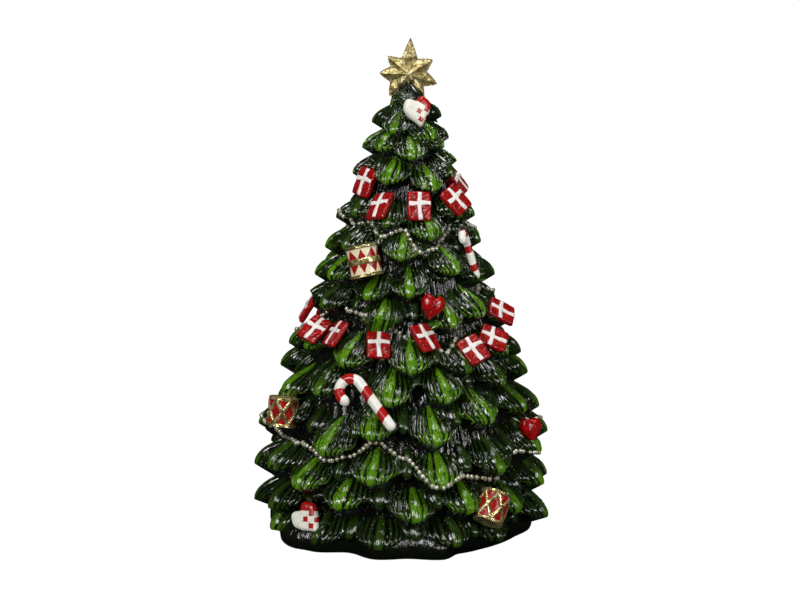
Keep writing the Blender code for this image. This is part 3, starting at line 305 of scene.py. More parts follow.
# Lamps of the studio: name, place, width and share of the key lamp's watts
LAMPS = (
    ("key", (-0.60, -0.95, 0.80), 0.42, 1.0),
    ("fill", (0.85, -0.80, 0.50), 0.32, 0.45),
    ("crown", (0.05, -0.10, 1.15), 0.40, 0.45),
    ("rear", (0.20, 1.10, 0.50), 0.40, 0.45),
)
LAMPS_AIM = (0.0, 0.0, 0.11)
CAMERA_AIM = np.array([-2.2, 0.0, 106.7]) * MM


def outward(azimuth):
    """Unit vectors away from the axis: sine and minus cosine of the azimuth."""
    angle = np.radians(azimuth)
    return np.stack([np.sin(angle), -np.cos(angle), 0 * angle], -1)


def sideways(azimuth):
    """Unit vectors to the right for someone who faces the tree there: cosine and sine of the azimuth."""
    angle = np.radians(azimuth)
    return np.stack([np.cos(angle), np.sin(angle), 0 * angle], -1)


UP = np.array([0.0, 0.0, 1.0])


def unit(vectors):
    """Vectors brought to a length of one."""
    return vectors / np.linalg.norm(vectors, axis=-1, keepdims=True)


def crowded(start, end, count):
    """Sines of evenly spaced quarter turns, which crowd towards one and minus one."""
    return np.sin(np.pi / 2 * np.linspace(start, end, count))


def eased(share):
    """A smooth step from 0 to 1."""
    return share * share * (3 - 2 * share)


def spans(places, values):
    """For each value the number of the span between places that holds it, and its share of that span."""
    span = np.clip(np.searchsorted(places, values, "right") - 1, 0, len(places) - 2)
    return span, (values - places[span]) / (places[span + 1] - places[span])


def reach(height):
    """How far the bough tips stand from the axis: even at the foot, then an even taper."""
    return np.maximum(TIP_RADIUS, FOOT_REACH - TAPER * np.maximum(0.0, height - TAPER_START))


def between(ends, height):
    """A size that runs evenly from its foot value to its top value."""
    return ends[0] + (ends[1] - ends[0]) * np.clip(height / TREE_HEIGHT, 0.0, 1.0)


def core_radius(height):
    """Radius of the trunk behind the boughs."""
    return np.maximum(TIP_RADIUS, reach(height) - between(TOOTH, height))


def hollow_radius(height):
    """Radius of the room inside the casting: the rebate, the even cavity, and a cone up to its top."""
    heights = (CAVITY_SHOULDER, CAVITY_TOP, CAVITY_TOP + CAVITY_TOP_RADIUS / 2)
    cavity = np.interp(height, heights, (CAVITY_RADIUS, CAVITY_TOP_RADIUS, 0.0))
    return np.where(height < REBATE_ROOM, REBATE_RADIUS, cavity)


def clear_of_hollow(points):
    """Points inside the hollow pushed straight out into the wall; the rest stay."""
    away = np.hypot(points[..., 0], points[..., 1])
    hollow = hollow_radius(points[..., 2])
    wanted = np.where(hollow > 0, hollow + HOLLOW_CLEAR, 0.0)
    push = np.maximum(1.0, wanted / np.maximum(away, TIP_RADIUS / 4))
    return np.concatenate([points[..., :2] * push[..., None], points[..., 2:]], -1)


def front_bough(azimuth, tip, bright=0.3, shift=0):
    """Azimuth, tip height, brightness and rib shift of a front bough; usual values where none are given."""
    return azimuth, tip * MM, bright, shift


def ring_of_boughs(ring):
    """The boughs of a ring, back ones evenly spread."""
    back, *front = BOUGH_RINGS[ring]
    boughs = [front_bough(*values) for values in front]
    first, last, height = front[0][0], front[-1][0], back * MM
    gap = 360 + first - last
    width = between(BOUGH_WIDTH, height)
    closing = round(gap / (BACK_SPACING * math.degrees(width / reach(height)))) - 1
    closing += 0 if closing % 2 == ring % 2 else 1
    for index in range(1, closing + 1):
        tip = max(0.0, height + BACK_WAVER * math.sin(2.4 * index + ring))
        bright = BACK_BRIGHTNESS[(index + 2 * ring) % len(BACK_BRIGHTNESS)]
        boughs.append((last + gap * index / (closing + 1), tip, bright, 0.0))
    return boughs


def fillers(boughs):
    """Shorter dark boughs that stand behind the gaps of a ring, painted nearly without green as painted
    shade of the gaps.
    """
    for index, (azimuth, tip, _, _) in enumerate(boughs):
        following = boughs[(index + 1) % len(boughs)]
        step = (following[0] - azimuth) % 360
        yield azimuth + step / 2, (tip + following[1]) / 2 + FILLER_RISE


def seat(facing, lean, turn):
    """Axes of something seated on the boughs, as columns: to the right, up and out."""
    facing = float(facing)
    tilt = Matrix.Rotation(-math.radians(lean), 3, "X") @ Matrix.Rotation(-math.radians(turn), 3, "Z")
    return np.stack([sideways(facing), UP, outward(facing)], -1) @ np.array(tilt)


def box_middle(node):
    """The middle of a solid's box, shifted where the painted piece sits a little beside it."""
    low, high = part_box(node)
    middle = (np.array(low) + np.array(high)) / 2
    across, rise, out = SHIFTS.get(node, (0.0, 0.0, 0.0))
    away = middle * np.array([1.0, 1.0, 0.0])
    away /= max(np.linalg.norm(away), MM)
    return middle + (np.array([across, 0.0, rise]) + out * away) * MM


class Shape:
    """Surfaces gathered as whole arrays, then welded into one closed mesh."""

    def __init__(self, *marks):
        self.points = []
        self.quads = []
        self.maps = []
        self.marks = {name: [] for name in marks}
        self.count = 0

    def grid(self, points, across=None, along=None, around=False, flip=False, **marks):
        """A surface on rows by columns of points; `around` joins the last column to the first."""
        rows, columns = points.shape[:2]
        across = np.linspace(0.0, 1.0, columns + around) if across is None else across
        along = np.linspace(0.0, 1.0, rows) if along is None else along
        if across.ndim == 1:
            across, along = np.meshgrid(across, along)
        row, column = np.meshgrid(np.arange(rows - 1), np.arange(columns - 1 + around), indexing="ij")
        steps = ((0, 0), (0, 1), (1, 1), (1, 0))[::-1 if flip else 1]
        quads = np.stack([(row + i) * columns + (column + j) % columns for i, j in steps], -1)
        maps = np.stack([np.stack([across[row + i, column + j], along[row + i, column + j]], -1)
                         for i, j in steps], -2)
        self.quads.append(quads.reshape(-1, 4) + self.count)
        self.maps.append(maps.reshape(-1, 4, 2))
        self.points.append(points.reshape(-1, 3))
        for name, held in self.marks.items():
            held.append(np.broadcast_to(marks.get(name, 0.0), (rows, columns)).reshape(-1))
        self.count += rows * columns

    def settle(self, node, axes):
        """Turn the points as the solid is turned, with their middle at the middle of its box."""
        points = np.concatenate(self.points) @ axes.T
        self.points = [points + box_middle(node) - (points.min(0) + points.max(0)) / 2]

    def build(self, name, finish):
        """Weld points that coincide, drop what collapsed, and make the object."""
        points = np.concatenate(self.points)
        keys = np.round(points / (0.0002 * MM)).astype(np.int64)
        _, first, place = np.unique(keys, axis=0, return_index=True, return_inverse=True)
        quads = place.reshape(-1)[np.concatenate(self.quads)]
        keep = quads != np.roll(quads, -1, 1)
        opposite = (quads[:, 0] == quads[:, 2]) | (quads[:, 1] == quads[:, 3])
        solid = (keep.sum(1) > 2) & ~opposite
        quads, keep, maps = quads[solid], keep[solid], np.concatenate(self.maps)[solid]
        sizes = keep.sum(1)
        mesh = bpy.data.meshes.new(name)
        mesh.vertices.add(len(first))
        mesh.vertices.foreach_set("co", points[first].reshape(-1))
        mesh.loops.add(int(sizes.sum()))
        mesh.loops.foreach_set("vertex_index", quads[keep])
        mesh.polygons.add(len(sizes))
        mesh.polygons.foreach_set("loop_start", np.concatenate([[0], np.cumsum(sizes)[:-1]]))
        mesh.polygons.foreach_set("use_smooth", np.ones(len(sizes), bool))
        mesh.update(calc_edges=True)
        layer = mesh.uv_layers.new(name="Place")
        layer.data.foreach_set("uv", maps[keep].reshape(-1))
        for mark, held in self.marks.items():
            attribute = mesh.attributes.new(mark, "FLOAT", "POINT")
            attribute.data.foreach_set("value", np.concatenate(held)[first])
        mesh.validate()
        thing = bpy.data.objects.new(name, mesh)
        bpy.context.scene.collection.objects.link(thing)
        mesh.materials.append(finish)
        return thing


def dress(thing, slot, *nodes):
    """Put a finished piece on the tree and hide the solids that it stands for. The slot argument is not
    used.
    """
    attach(thing, ROOT)
    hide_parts(*nodes)


def reckoning(operation, swapped=False):
    """A method that adds a Math node for a wire and another value, in this order or swapped."""

    def method(wire, other):
        return wire.math(operation, *((other, wire) if swapped else (wire, other)))

    return method


class Wire:
    """One socket of a finish; arithmetic on it adds Math nodes. top and low are the greater and lesser."""

    def __init__(self, graph, socket):
        self.graph = graph
        self.socket = socket

    def math(self, operation, first, second=0.0):
        return self.graph.node("ShaderNodeMath", {"operation": operation}, {0: first, 1: second})

    __add__ = reckoning("ADD")
    __radd__ = reckoning("ADD", True)
    __sub__ = reckoning("SUBTRACT")
    __rsub__ = reckoning("SUBTRACT", True)
    __mul__ = reckoning("MULTIPLY")
    __rmul__ = reckoning("MULTIPLY", True)
    __lt__ = reckoning("LESS_THAN")
    __gt__ = reckoning("GREATER_THAN")
    top = reckoning("MAXIMUM")
    low = reckoning("MINIMUM")

    def size(self):
        """The value without its sign."""
        return self.math("ABSOLUTE", self)

    def rise(self, low, high):
        """0 below low, 1 above high, and a smooth step between."""
        return self.graph.node("ShaderNodeMapRange", {"interpolation_type": "SMOOTHSTEP"},
                               {"Value": self, "From Min": low, "From Max": high})


class Graph:
    """The nodes of a material or of the sky."""

    def __init__(self, owner):
        owner.use_nodes = True
        self.tree = owner.node_tree

    def node(self, kind, settings=None, sockets=None, output=0):
        """Any node: its settings first, then values or links for its sockets."""
        made = self.tree.nodes.new(kind)
        for name, value in (settings or {}).items():
            setattr(made, name, value)
        for name, value in (sockets or {}).items():
            self.connect(value, made.inputs[name])
        return Wire(self, made.outputs[output])

    def connect(self, value, socket):
        """Link a wire or set a plain value."""
        if isinstance(value, Wire):
            self.tree.links.new(value.socket, socket)
        elif isinstance(value, tuple) and socket.type == "RGBA":
            socket.default_value = (*value, 1.0)
        else:
            socket.default_value = value

    def rays(self):
        """1 for what shows straight or through glass, else 0; and 1 for what shows in a mirror, else 0."""
        outputs = self.node("ShaderNodeLightPath").socket.node.outputs
        straight, glass, mirrored = (Wire(self, outputs[f"Is {kind} Ray"])
                                     for kind in ("Camera", "Transmission", "Glossy"))
        return straight.top(glass), mirrored


class Finish(Graph):
    """A procedural material under construction."""

    def __init__(self, name, **plain):
        self.material = bpy.data.materials.new(name)
        super().__init__(self.material)
        self.shader = self.tree.nodes["Principled BSDF"]
        for socket, value in plain.items():
            self.feed(socket.replace("_", " "), value)

    def feed(self, name, value):
        """Set or link one socket of the shader."""
        self.connect(value, self.shader.inputs[name])

    def spot(self):
        """Object coordinates."""
        return self.node("ShaderNodeTexCoord", output="Object")

    def place(self):
        """The piece's own map."""
        return self.node("ShaderNodeUVMap", {"uv_map": "Place"})

    def mark(self, name):
        """A point attribute of the piece."""
        return self.node("ShaderNodeAttribute", {"attribute_name": name}, output="Fac")

    def split(self, vector):
        """The three parts of a vector."""
        made = self.node("ShaderNodeSeparateXYZ", None, {0: vector})
        return [Wire(self, socket) for socket in made.socket.node.outputs]

    def stretch(self, vector, scale, offset=(0.0, 0.0, 0.0)):
        """A vector scaled and shifted."""
        return self.node("ShaderNodeMapping", None, {"Vector": vector, "Scale": scale, "Location": offset})

    def noise(self, vector, scale, detail=3.0, roughness=0.55):
        """Cloudy noise from 0 to 1."""
        return self.node("ShaderNodeTexNoise", None,
                         {"Vector": vector, "Scale": scale, "Detail": detail, "Roughness": roughness})

    def cells(self, vector, scale, output="Distance"):
        """Distance to the nearest of scattered points, or each one's colour."""
        return self.node("ShaderNodeTexVoronoi", None, {"Vector": vector, "Scale": scale}, output)

    def mix(self, share, first, second):
        """A colour between two."""
        made = self.tree.nodes.new("ShaderNodeMix")
        made.data_type = "RGBA"
        self.connect(share, made.inputs[0])
        self.connect(first, made.inputs[6])
        self.connect(second, made.inputs[7])
        return Wire(self, made.outputs[2])

    def relief(self, height, distance, strength=1.0):
        """Bump from a height of 0 to 1 that stands for a distance in metres."""
        sockets = {"Strength": strength, "Distance": distance, "Height": height}
        self.feed("Normal", self.node("ShaderNodeBump", None, sockets, "Normal"))


def specks(finish, vector, scale, size, share):
    """1 in scattered dots of a size, in a share of the cells; 0 elsewhere."""
    near = finish.cells(vector, scale)
    chance = finish.split(finish.cells(vector, scale, "Color"))[0]
    return (1.0 - near.rise(size * 0.6, size)) * (chance < share)


# Pale colour of the painted glints on the resin's crests
GLINT_WHITE = (0.70, 0.74, 0.64)
RESIN_RELIEF = 0.6 * MM


def lacquered_resin():
    """Lacquered casting: near black in the grooves, deep green on ribs, leaf green on the painted ones, and
    painted white glints on the crests, crowded towards the top.
    """
    hues = bpy.context.scene.figurine_finishes
    finish = Finish("lacquered_resin", Specular_IOR_Level=hues.resin_gloss, Roughness=0.3)
    crest, bright = finish.mark("crest"), finish.mark("bright")
    place, spot = finish.place(), finish.spot()
    height = finish.split(spot)[2]
    strokes = finish.noise(finish.stretch(place, (18.0, 1.6, 1.0)), 1.0, 4.0, 0.62)
    cuts = finish.noise(finish.stretch(place, (17.0, 2.2, 1.0), (5.0, 3.0, 0.0)), 1.0, 2.0)
    whole_skin = (cuts - 0.5).size().rise(0.006, 0.03)
    blotches = finish.noise(spot, 190.0, 3.0)
    pooled = crest + 0.8 * (strokes - 0.5)
    deep = pooled.rise(0.45, 1.0)
    lines = pooled.rise(0.72, 0.98) * (0.06 + 0.42 * bright) * blotches.rise(0.2, 0.5) * whole_skin
    painted = pooled.rise(0.38, 0.7) * bright.rise(0.25, 0.85) * blotches.rise(0.22, 0.4) * whole_skin
    colour = finish.mix(deep, tuple(hues.groove_black), tuple(hues.deep_green))
    colour = finish.mix(painted.top(lines).low(1.0), colour, tuple(hues.leaf_green))
    # Painted glints: small pale dots on the rib crests, more of them high on the tree
    glint_map = finish.stretch(place, (30.0, 19.0, 1.0))
    crowd = finish.noise(spot, 70.0, 2.0).rise(0.42, 0.60) * (0.35 + 0.65 * height.rise(0.11, 0.19))
    painted_glints = specks(finish, glint_map, 1.0, 0.40, 0.22 + 0.34 * height.rise(0.12, 0.18))
    painted_glints = painted_glints * (crowd * height.rise(0.008, 0.02)) * crest.rise(0.05, 0.2)
    colour = finish.mix(painted_glints, colour, GLINT_WHITE)
    finish.feed("Base Color", colour)
    finish.feed("Roughness", 0.07 + 0.13 * blotches + 0.5 * (crest < 0.02))
    ridges = finish.noise(finish.stretch(place, (26.0, 1.5, 1.0)), 1.0, 2.0)
    lumps = finish.noise(spot, 420.0, 1.0)
    finish.relief(0.85 * ridges + 0.15 * lumps, RESIN_RELIEF)
    return finish.material


def press_lamps(points):
    """Press a surface back round each lamp, so that the lamp stands in a well."""
    for azimuth, height in LED_PLACES:
        out, side = outward(float(azimuth)), sideways(float(azimuth))
        depth = points @ out
        away = np.hypot(points @ side, points[..., 2] - height * MM)
        share = np.clip((height * MM - CAVITY_SHOULDER) / (CAVITY_TOP - CAVITY_SHOULDER), 0.0, 1.0)
        dome = CAVITY_RADIUS + (CAVITY_TOP_RADIUS - CAVITY_RADIUS) * share + LED_STAND
        floor = dome + np.clip(away - LED_MOUTH, 0.0, None) * LED_SLOPE
        press = np.where((away < 2 * LED_MOUTH) & (depth > floor), depth - floor, 0.0)
        points = points - press[..., None] * out
    return points


def press_seats(points):
    """Press a surface back behind each ornament, so that nothing pokes through it."""
    for name, (middle, axes, half_width, half_height, depth) in SEATS.items():
        offset = (points - middle) @ axes
        edge = np.maximum(np.abs(offset[..., 0]) / half_width, np.abs(offset[..., 1]) / half_height)
        press = np.where(edge < 1.0, np.maximum(0.0, offset[..., 2] + depth), 0.0)
        points = points - press[..., None] * axes[:, 2]
    return points


def bough(shape, seed, azimuth, tip, bright, shift, sink=0.0, stretch=1.0, across=BOUGH_ACROSS,
          along=BOUGH_ALONG):
    """One drooping bough. Rows run from its root to its tip and columns from its left edge to its right.

    The middle of the bough runs outwards and down. The width opens like a fan from the root and closes a
    little at the tip, whose sides end higher. The skin swells by the square root of one minus the cube of
    the place across, and ribs stand on it as powers of a cosine whose crests fan out from the root to
    rounded ends.
    """
    sizes = bpy.context.scene.figurine_sizes
    chance = np.random.default_rng(4000 + seed)
    half, drop = between(BOUGH_WIDTH, tip) / 2, between(BOUGH_DROP, tip) * stretch
    scale = half / (BOUGH_WIDTH[0] / 2)
    tip_reach = reach(tip) - sink + BOUGH_FLARE * scale
    root_reach = max(TIP_RADIUS, tip_reach - BOUGH_RUN * drop)
    inner_reach = max(TIP_RADIUS / 2, min(root_reach, core_radius(tip)) - 2 * MM)
    across = crowded(-1, 1, across)[None, :]
    run = crowded(0, 1, along)[:, None]
    along = run * (1 - 0.2 * across**2)
    opened = np.sin(np.pi / 2 * np.minimum(1.0, 1.2 * along))
    closing = np.sqrt(1 - (FAN_CLOSING * np.clip((run - FAN_CLOSES) / 0.22, 0, 1)) ** 2)
    spread = across * (FAN_WIDTH[0] + FAN_WIDTH[1] * opened) * closing
    crown = BOUGH_CROWN * spread**2 * (0.4 + 0.6 * along)
    outwards = along * (1 + BOUGH_ARCH - BOUGH_ARCH * along)
    radius = root_reach + (tip_reach - root_reach) * outwards - 0.75 * crown
    hung = BOUGH_RISE * scale**2 * max(0.0, math.cos(math.radians(azimuth)))
    height = tip + hung + drop * (1 - along**BOUGH_BEND) - 0.65 * crown
    out, side = outward(float(azimuth)), sideways(float(azimuth))
    skin = radius[..., None] * out + (half * spread)[..., None] * side + height[..., None] * UP
    normal = unit(np.cross(np.gradient(skin, axis=1), np.gradient(skin, axis=0)))
    normal *= np.sign((normal @ out).mean())
    risen = eased(run)
    swell = np.sqrt(np.clip(1 - np.abs(across) ** 3, 0, 1)) * np.sqrt(1 - run**8) * risen
    count = int(chance.choice(WIDE_RIBS if half > WIDE_HALF else NARROW_RIBS))
    sway = 0.04 * np.sin(4.5 * run + chance.uniform(0, 6)) + 0.5 * shift * run
    leaning = np.clip(across - sway * (1 - across**2), -1, 1)
    warped = np.sign(leaning) * np.abs(leaning) ** (1.15 + 0.6 * run)
    wave = np.abs(np.cos(np.pi / 2 * count * warped))
    which = np.round(count * warped / 2).astype(int) + count // 2 + 1
    middle = count // 2 + 1
    strength = chance.uniform(0.55, 1.0, count + 3)
    strength[middle] = MIDDLE_RIB
    crest = wave ** (0.5 + 0.9 * np.abs(leaning))
    ramp = np.sin(np.pi / 2 * np.minimum(1, 2.0 * run)) * (1 - 0.5 * run**8)
    rib = sizes.rib_depth * (0.35 + 0.65 * scale) * strength[which] * ramp * crest
    fine = GRAIN_DEPTH * np.sin(np.pi * 3.2 * count * leaning + 3 * np.sin(5 * run + seed)) * ramp
    raised = between(BOUGH_SWELL, tip) * swell - BOUGH_SUNK * scale + 1.0 * MM * risen + rib + fine
    skin = skin + normal * raised[..., None]
    lobe = np.clip((run - 0.8) / 0.2, 0, 1) ** 2
    skin = skin + (lobe * crest * strength[which])[..., None] * BOUGH_LOBE * scale * (out - UP) / 1.4
    skin[..., 2] = np.maximum(skin[..., 2], FLOOR_CLEAR)
    paint = chance.uniform(0.0, SIDE_PAINT, count + 3) * (0.25 + bright)
    paint[middle] = bright
    paint[middle + int(chance.choice((-1, 1)))] = bright * chance.uniform(0.3, 0.75)
    glow = paint[which] + (0.07 + 0.5 * bright) * np.clip((run - 0.7) / 0.25, 0, 1) ** 2
    skin = clear_of_hollow(press_seats(press_lamps(skin)))
    drift = chance.uniform(0, 40, 2)
    map_across = across * half / MAP_LENGTH + drift[0] + 0 * run
    map_along = run * 1.3 * drop / MAP_LENGTH + drift[1] + 0 * across
    crest = crest * np.minimum(1, 3 * run)
    shape.grid(skin, map_across, map_along, flip=True, crest=crest, bright=np.clip(glow, 0, 1))

    under = skin[..., 2] - BOUGH_UNDERCUT * (skin @ out - inner_reach)
    inner = inner_reach * out + (BOUGH_UNDERSIDE_WIDTH * (skin @ side))[..., None] * side
    inner = inner + np.maximum(under, 0.0)[..., None] * UP
    rim, root = (np.concatenate([grid[0], grid[1:-1, -1], grid[-1, ::-1], grid[-2:0:-1, 0]])
                 for grid in (skin, inner))
    rows = [rim] + [rim + (root - rim) * min(1.0, share) for share in BOUGH_BACK_ROWS]
    rows[-1] = root.mean(0) + 0.4 * (root - root.mean(0))
    rows.append(np.broadcast_to(root.mean(0), root.shape))
    back = np.stack(rows)
    back[..., 2] = np.maximum(back[..., 2], FLOOR_CLEAR)
    back[1:] = clear_of_hollow(back[1:])
    shape.grid(back, around=True, crest=0.0, bright=0.0)


def foot_shape():
    """The dark foot: a wavy outline, eased by half cosines between its points, drawn in as it rises."""
    shape = Shape("crest", "bright")
    azimuth = np.linspace(-180, 180, 361)[:-1]
    places, reaches = np.array(FOOT_OUTLINE, float).T
    span, share = spans(places, azimuth)
    edge = (reaches[span] + (reaches[span + 1] - reaches[span]) * (1 - np.cos(np.pi * share)) / 2) * MM
    outer = core_radius(0.0)
    rows = []
    for height, drawn in FOOT_PROFILE:
        radius = outer - 2 * MM + (edge - outer + 2 * MM) * drawn
        rows.append(outward(azimuth) * radius[:, None] + height * MM * UP)
    inner = outward(azimuth) * (REBATE_RADIUS + 3 * MM)
    rows = [inner + FOOT_PROFILE[0][0] * MM * UP] + rows + [inner + FOOT_PROFILE[-1][0] * MM * UP]
    rows.append(rows[0])
    maps = np.linspace(0, 20, 361), np.linspace(0, 3, len(rows))
    shape.grid(np.stack(rows), *maps, around=True, crest=FOOT_CREST)
    return shape


def turned(shape, profile, columns, centre, flip=False):
    """A profile of radius and height carried round a vertical axis."""
    profile = np.asarray(profile)
    angle = np.linspace(0, 2 * np.pi, columns, endpoint=False)
    x = centre[0] + profile[:, :1] * np.cos(angle)
    y = centre[1] + profile[:, :1] * np.sin(angle)
    z = np.broadcast_to(profile[:, 1:], x.shape)
    shape.grid(np.stack([x, y, z], -1), around=True, flip=flip)


def trunk_shape():
    """The trunk behind the boughs, its flat foot, rebate and hollow, with the bosses for the screws."""
    shape = Shape("crest", "bright")
    heights = np.concatenate([np.linspace(TREE_HEIGHT - 2 * MM, 8 * MM, 96), [4 * MM, 1 * MM]])
    angle = np.linspace(0, 2 * np.pi, 480, endpoint=False)
    bark = BARK_DEPTH * np.abs(np.sin(30 * angle + 2.5 * np.sin(heights[:, None] / (11 * MM)))) ** 0.8
    radius = core_radius(heights)[:, None] - bark * (heights[:, None] > BARK_FROM)
    wall = np.stack([radius * np.sin(angle), -radius * np.cos(angle), heights[:, None] + 0 * angle], -1)
    wall = press_lamps(wall)
    ring = np.stack([np.sin(angle), -np.cos(angle), 0 * angle], -1)
    foot = core_radius(0.0)
    inner = ((foot - 0.6 * MM, 0.0), (REBATE_RADIUS, 0.0), (REBATE_RADIUS, SHOULDER),
             (CAVITY_RADIUS, SHOULDER), (CAVITY_RADIUS, CAVITY_SHOULDER), (CAVITY_TOP_RADIUS, CAVITY_TOP),
             (0.0, CAVITY_TOP + CAVITY_TOP_RADIUS / 2))
    rows = [np.broadcast_to([0.0, 0.0, TREE_HEIGHT], wall[0].shape)] + list(wall)
    rows += [ring * radius + height * UP for radius, height in inner]
    crest = np.concatenate([[0.2], np.full(len(wall), 0.3), np.zeros(len(inner))])[:, None]
    maps = np.linspace(0, 16, 481), np.linspace(0, 10, len(rows))
    shape.grid(np.stack(rows), *maps, around=True, flip=True, crest=crest)
    hole, wide = BOSS_RADII
    top = SHOULDER + BOSS_LENGTH
    blind = top - 3 * MM
    profile = [(0.0, blind), (hole, blind), (hole, SHOULDER), (wide, SHOULDER), (wide, top), (0.0, top)]
    for turn in (0.0, 120.0, 240.0):
        centre = BOSS_CIRCLE * np.cos(np.radians(turn)), BOSS_CIRCLE * np.sin(np.radians(turn))
        turned(shape, profile, 24, centre, True)
    return shape


SEATS = {}


def seats():
    """Where ornaments lie on the boughs: middle, axes, half sizes and depth behind the middle."""
    held = {}
    for name, facing, lean, turn, *_ in FLAGS:
        held[name] = facing, lean, turn, *FLAG_SEAT
    for name, facing, lean, turn, radius, length, _ in DRUMS:
        held[name] = facing, lean, turn, radius, length / 2, DRUM_SEAT_DEPTH
    for name, facing, turn in HEARTS:
        held[name] = facing, HEART_LEAN, turn, *HEART_SEAT
    for name, facing, turn, _ in WOVEN_HEARTS:
        held[name] = facing, HEART_LEAN, turn, *WOVEN_SEAT
    held = {name: (box_middle(name), seat(*values[:3]), *values[3:]) for name, values in held.items()}
    for name, facing, turn, straight, bend, radius, _ in CANES:
        axes = seat(facing, CANE_LEAN, turn)
        stem = box_middle(name) + axes @ np.array([0.9 * bend, -0.5 * bend, 0.0])
        held[name] = stem, axes, 1.2 * radius, straight / 2 + radius, 0.5 * radius
    return held


def flag_shape(node, facing, lean, turn, skew=0.0):
    """A small pillow of a plaque, rounded by tenth powers, with a raised cross whose arms waver."""
    shape = Shape("paint")
    chance = np.random.default_rng(sum(map(ord, node)))
    width, length, thick = FLAG_SIZE
    u, v = np.meshgrid(crowded(-1, 1, 61), crowded(-1, 1, 73))
    phase = chance.uniform(0, 6, 4)
    bulge = 1 - 0.05 * v**4 + 0.012 * np.sin(5 * v + phase[0])
    x = width / 2 * u * bulge
    y = length / 2 * v * (1 - 0.05 * u**4 + 0.012 * np.sin(5 * u + phase[1]))
    edge = ((1 - u**10) * (1 - v**10)) ** 0.35
    arm = FLAG_ARM * width
    sway_x, sway_y = (0.25 * MM * np.sin(3 * w + start) for w, start in ((v, phase[2]), (u, phase[3])))
    upright = np.abs(x - sway_x) - arm * (1 + 0.12 * np.sin(7 * v + phase[3]))
    level = np.abs(y - 0.09 * length - sway_y) - arm * (1 + 0.12 * np.sin(7 * u))
    near = np.minimum(upright, level)
    cross = eased(np.clip(0.5 - near / (0.5 * MM), 0, 1))
    rough = 0.12 * MM * np.sin(9 * u + 4 * np.sin(6 * v)) * np.sin(8 * v + phase[0])
    front = (thick / 2 - 0.3 * MM + 0.55 * MM * cross + rough * (1 - cross)) * edge
    y = y + skew * x
    maps = (u * 0.5, v * 0.62)
    shape.grid(np.stack([x, y, front], -1), *maps, paint=cross * (edge > 0.8))
    shape.grid(np.stack([x, y, -(thick / 2 - 0.2 * MM) * edge], -1), *maps, flip=True)
    shape.settle(node, seat(facing, lean, turn))
    return shape


def drum_shape(node, facing, lean, turn, wide, length, banded):
    """A drum carried round its axis: double rims, and cords or a middle band standing on the wall."""
    shape = Shape("gold", "paint", "cream")
    half = length / 2
    angle = np.linspace(0, 2 * np.pi, 160, endpoint=False)[None, :]
    wall = np.linspace(-half, half, 81)[:, None]
    inner = half - DRUM_RIM_HEIGHT
    share = np.clip((np.abs(wall) - inner) / DRUM_RIM_HEIGHT, 0, 1)
    rim = np.sin(np.pi * share) ** 0.5 * (1 - 0.35 * np.exp(-((share - 0.5) / 0.14) ** 2)) * (share > 0)
    gold = (share > 0.02) * np.ones_like(angle)
    radius = wide + DRUM_RIM * rim + 0 * angle
    paint = np.ones_like(gold)
    cream = np.zeros_like(gold)
    turns = angle / (2 * np.pi)
    if banded:
        band = np.clip(1.35 - np.abs(wall) / (1.1 * MM), 0, 1)
        radius = radius + 0.45 * MM * np.minimum(1, 2 * band)
        gold = np.maximum(gold, (band > 0.1) * np.ones_like(angle))
        rise = np.clip((np.abs(wall) - DRUM_BAND) / (inner - DRUM_BAND), 0, 1)
        tooth = np.abs((DRUM_TEETH * turns + 0.08 * np.sin(12 * np.pi * turns)) % 1 - 0.5) * 2
        paint = (tooth < 1 - rise) * 1.0
        cream = 1 - gold
    else:
        zigzag = inner * (4 * np.abs((DRUM_CORDS * turns) % 1 - 0.5) - 1)
        near = np.minimum(np.abs(wall - zigzag), np.abs(wall + zigzag)) * 0.62
        cord = np.clip(1.5 - near / (0.7 * MM), 0, 1)
        cord = np.where(share > 0, 0, np.sqrt(1 - (1 - cord) ** 2))
        radius = radius + 0.7 * MM * cord
        gold = np.maximum(gold, (cord > 0.25) * 1.0)
    skin_level = -half + 0.5 * MM
    rings = (skin_level, 0.0), (skin_level, 0.86 * wide), (-half, 0.92 * wide)
    caps = [np.stack([size * np.cos(angle[0]), 0 * angle[0] + level, size * np.sin(angle[0])], -1)
            for level, size in rings]
    body = np.stack([radius * np.cos(angle), wall + 0 * angle, radius * np.sin(angle)], -1)
    other = [cap * np.array([1, -1, 1]) for cap in caps[::-1]]
    points = np.concatenate([np.stack(caps), body, np.stack(other)])
    ends = np.ones((3, angle.shape[1]))

    def whole(mark, cap):
        return np.concatenate([cap * ends, mark, cap * ends])

    rows = np.concatenate([np.full(3, -0.1), np.linspace(0, 1, 81), np.full(3, 1.1)])
    marks = {"gold": whole(gold, 1.0), "paint": whole(paint, 0.0), "cream": whole(cream, 1.0)}
    shape.grid(points, np.linspace(0, 2.2, 161), rows, around=True, **marks)
    shape.settle(node, seat(facing, lean, turn))
    return shape


def heart_shape(node, facing, turn, width, thick, puff):
    """A heart outline of sines and cosines, shrunk by a power of a cosine towards its front and back."""
    shape = Shape()
    angle = np.linspace(0, 2 * np.pi, 96, endpoint=False)[None, :]
    level = np.linspace(-np.pi / 2, np.pi / 2, 33)[:, None]
    x = 10 * np.sin(angle) ** 3 + 5.5 * np.sin(angle)
    y = 16.2 * np.cos(angle) - 3.8 * np.cos(2 * angle) - 1.6 * np.cos(3 * angle)
    y = y - 0.7 * np.cos(4 * angle) + 2
    size = np.cos(level) ** puff * width / 32
    points = np.stack([x * size, y * size, thick / 2 * np.sin(level) + 0 * angle], -1)
    lumps = 1 + 0.03 * np.sin(points[..., :1] / (1.1 * MM) + 2) * np.sin(points[..., 1:2] / (1.3 * MM))
    points = points * lumps
    ring = np.concatenate([points, points[:, :1]], 1) / width
    shape.grid(points, ring[..., 0], ring[..., 1], around=True)
    shape.settle(node, seat(facing, HEART_LEAN, turn))
    return shape


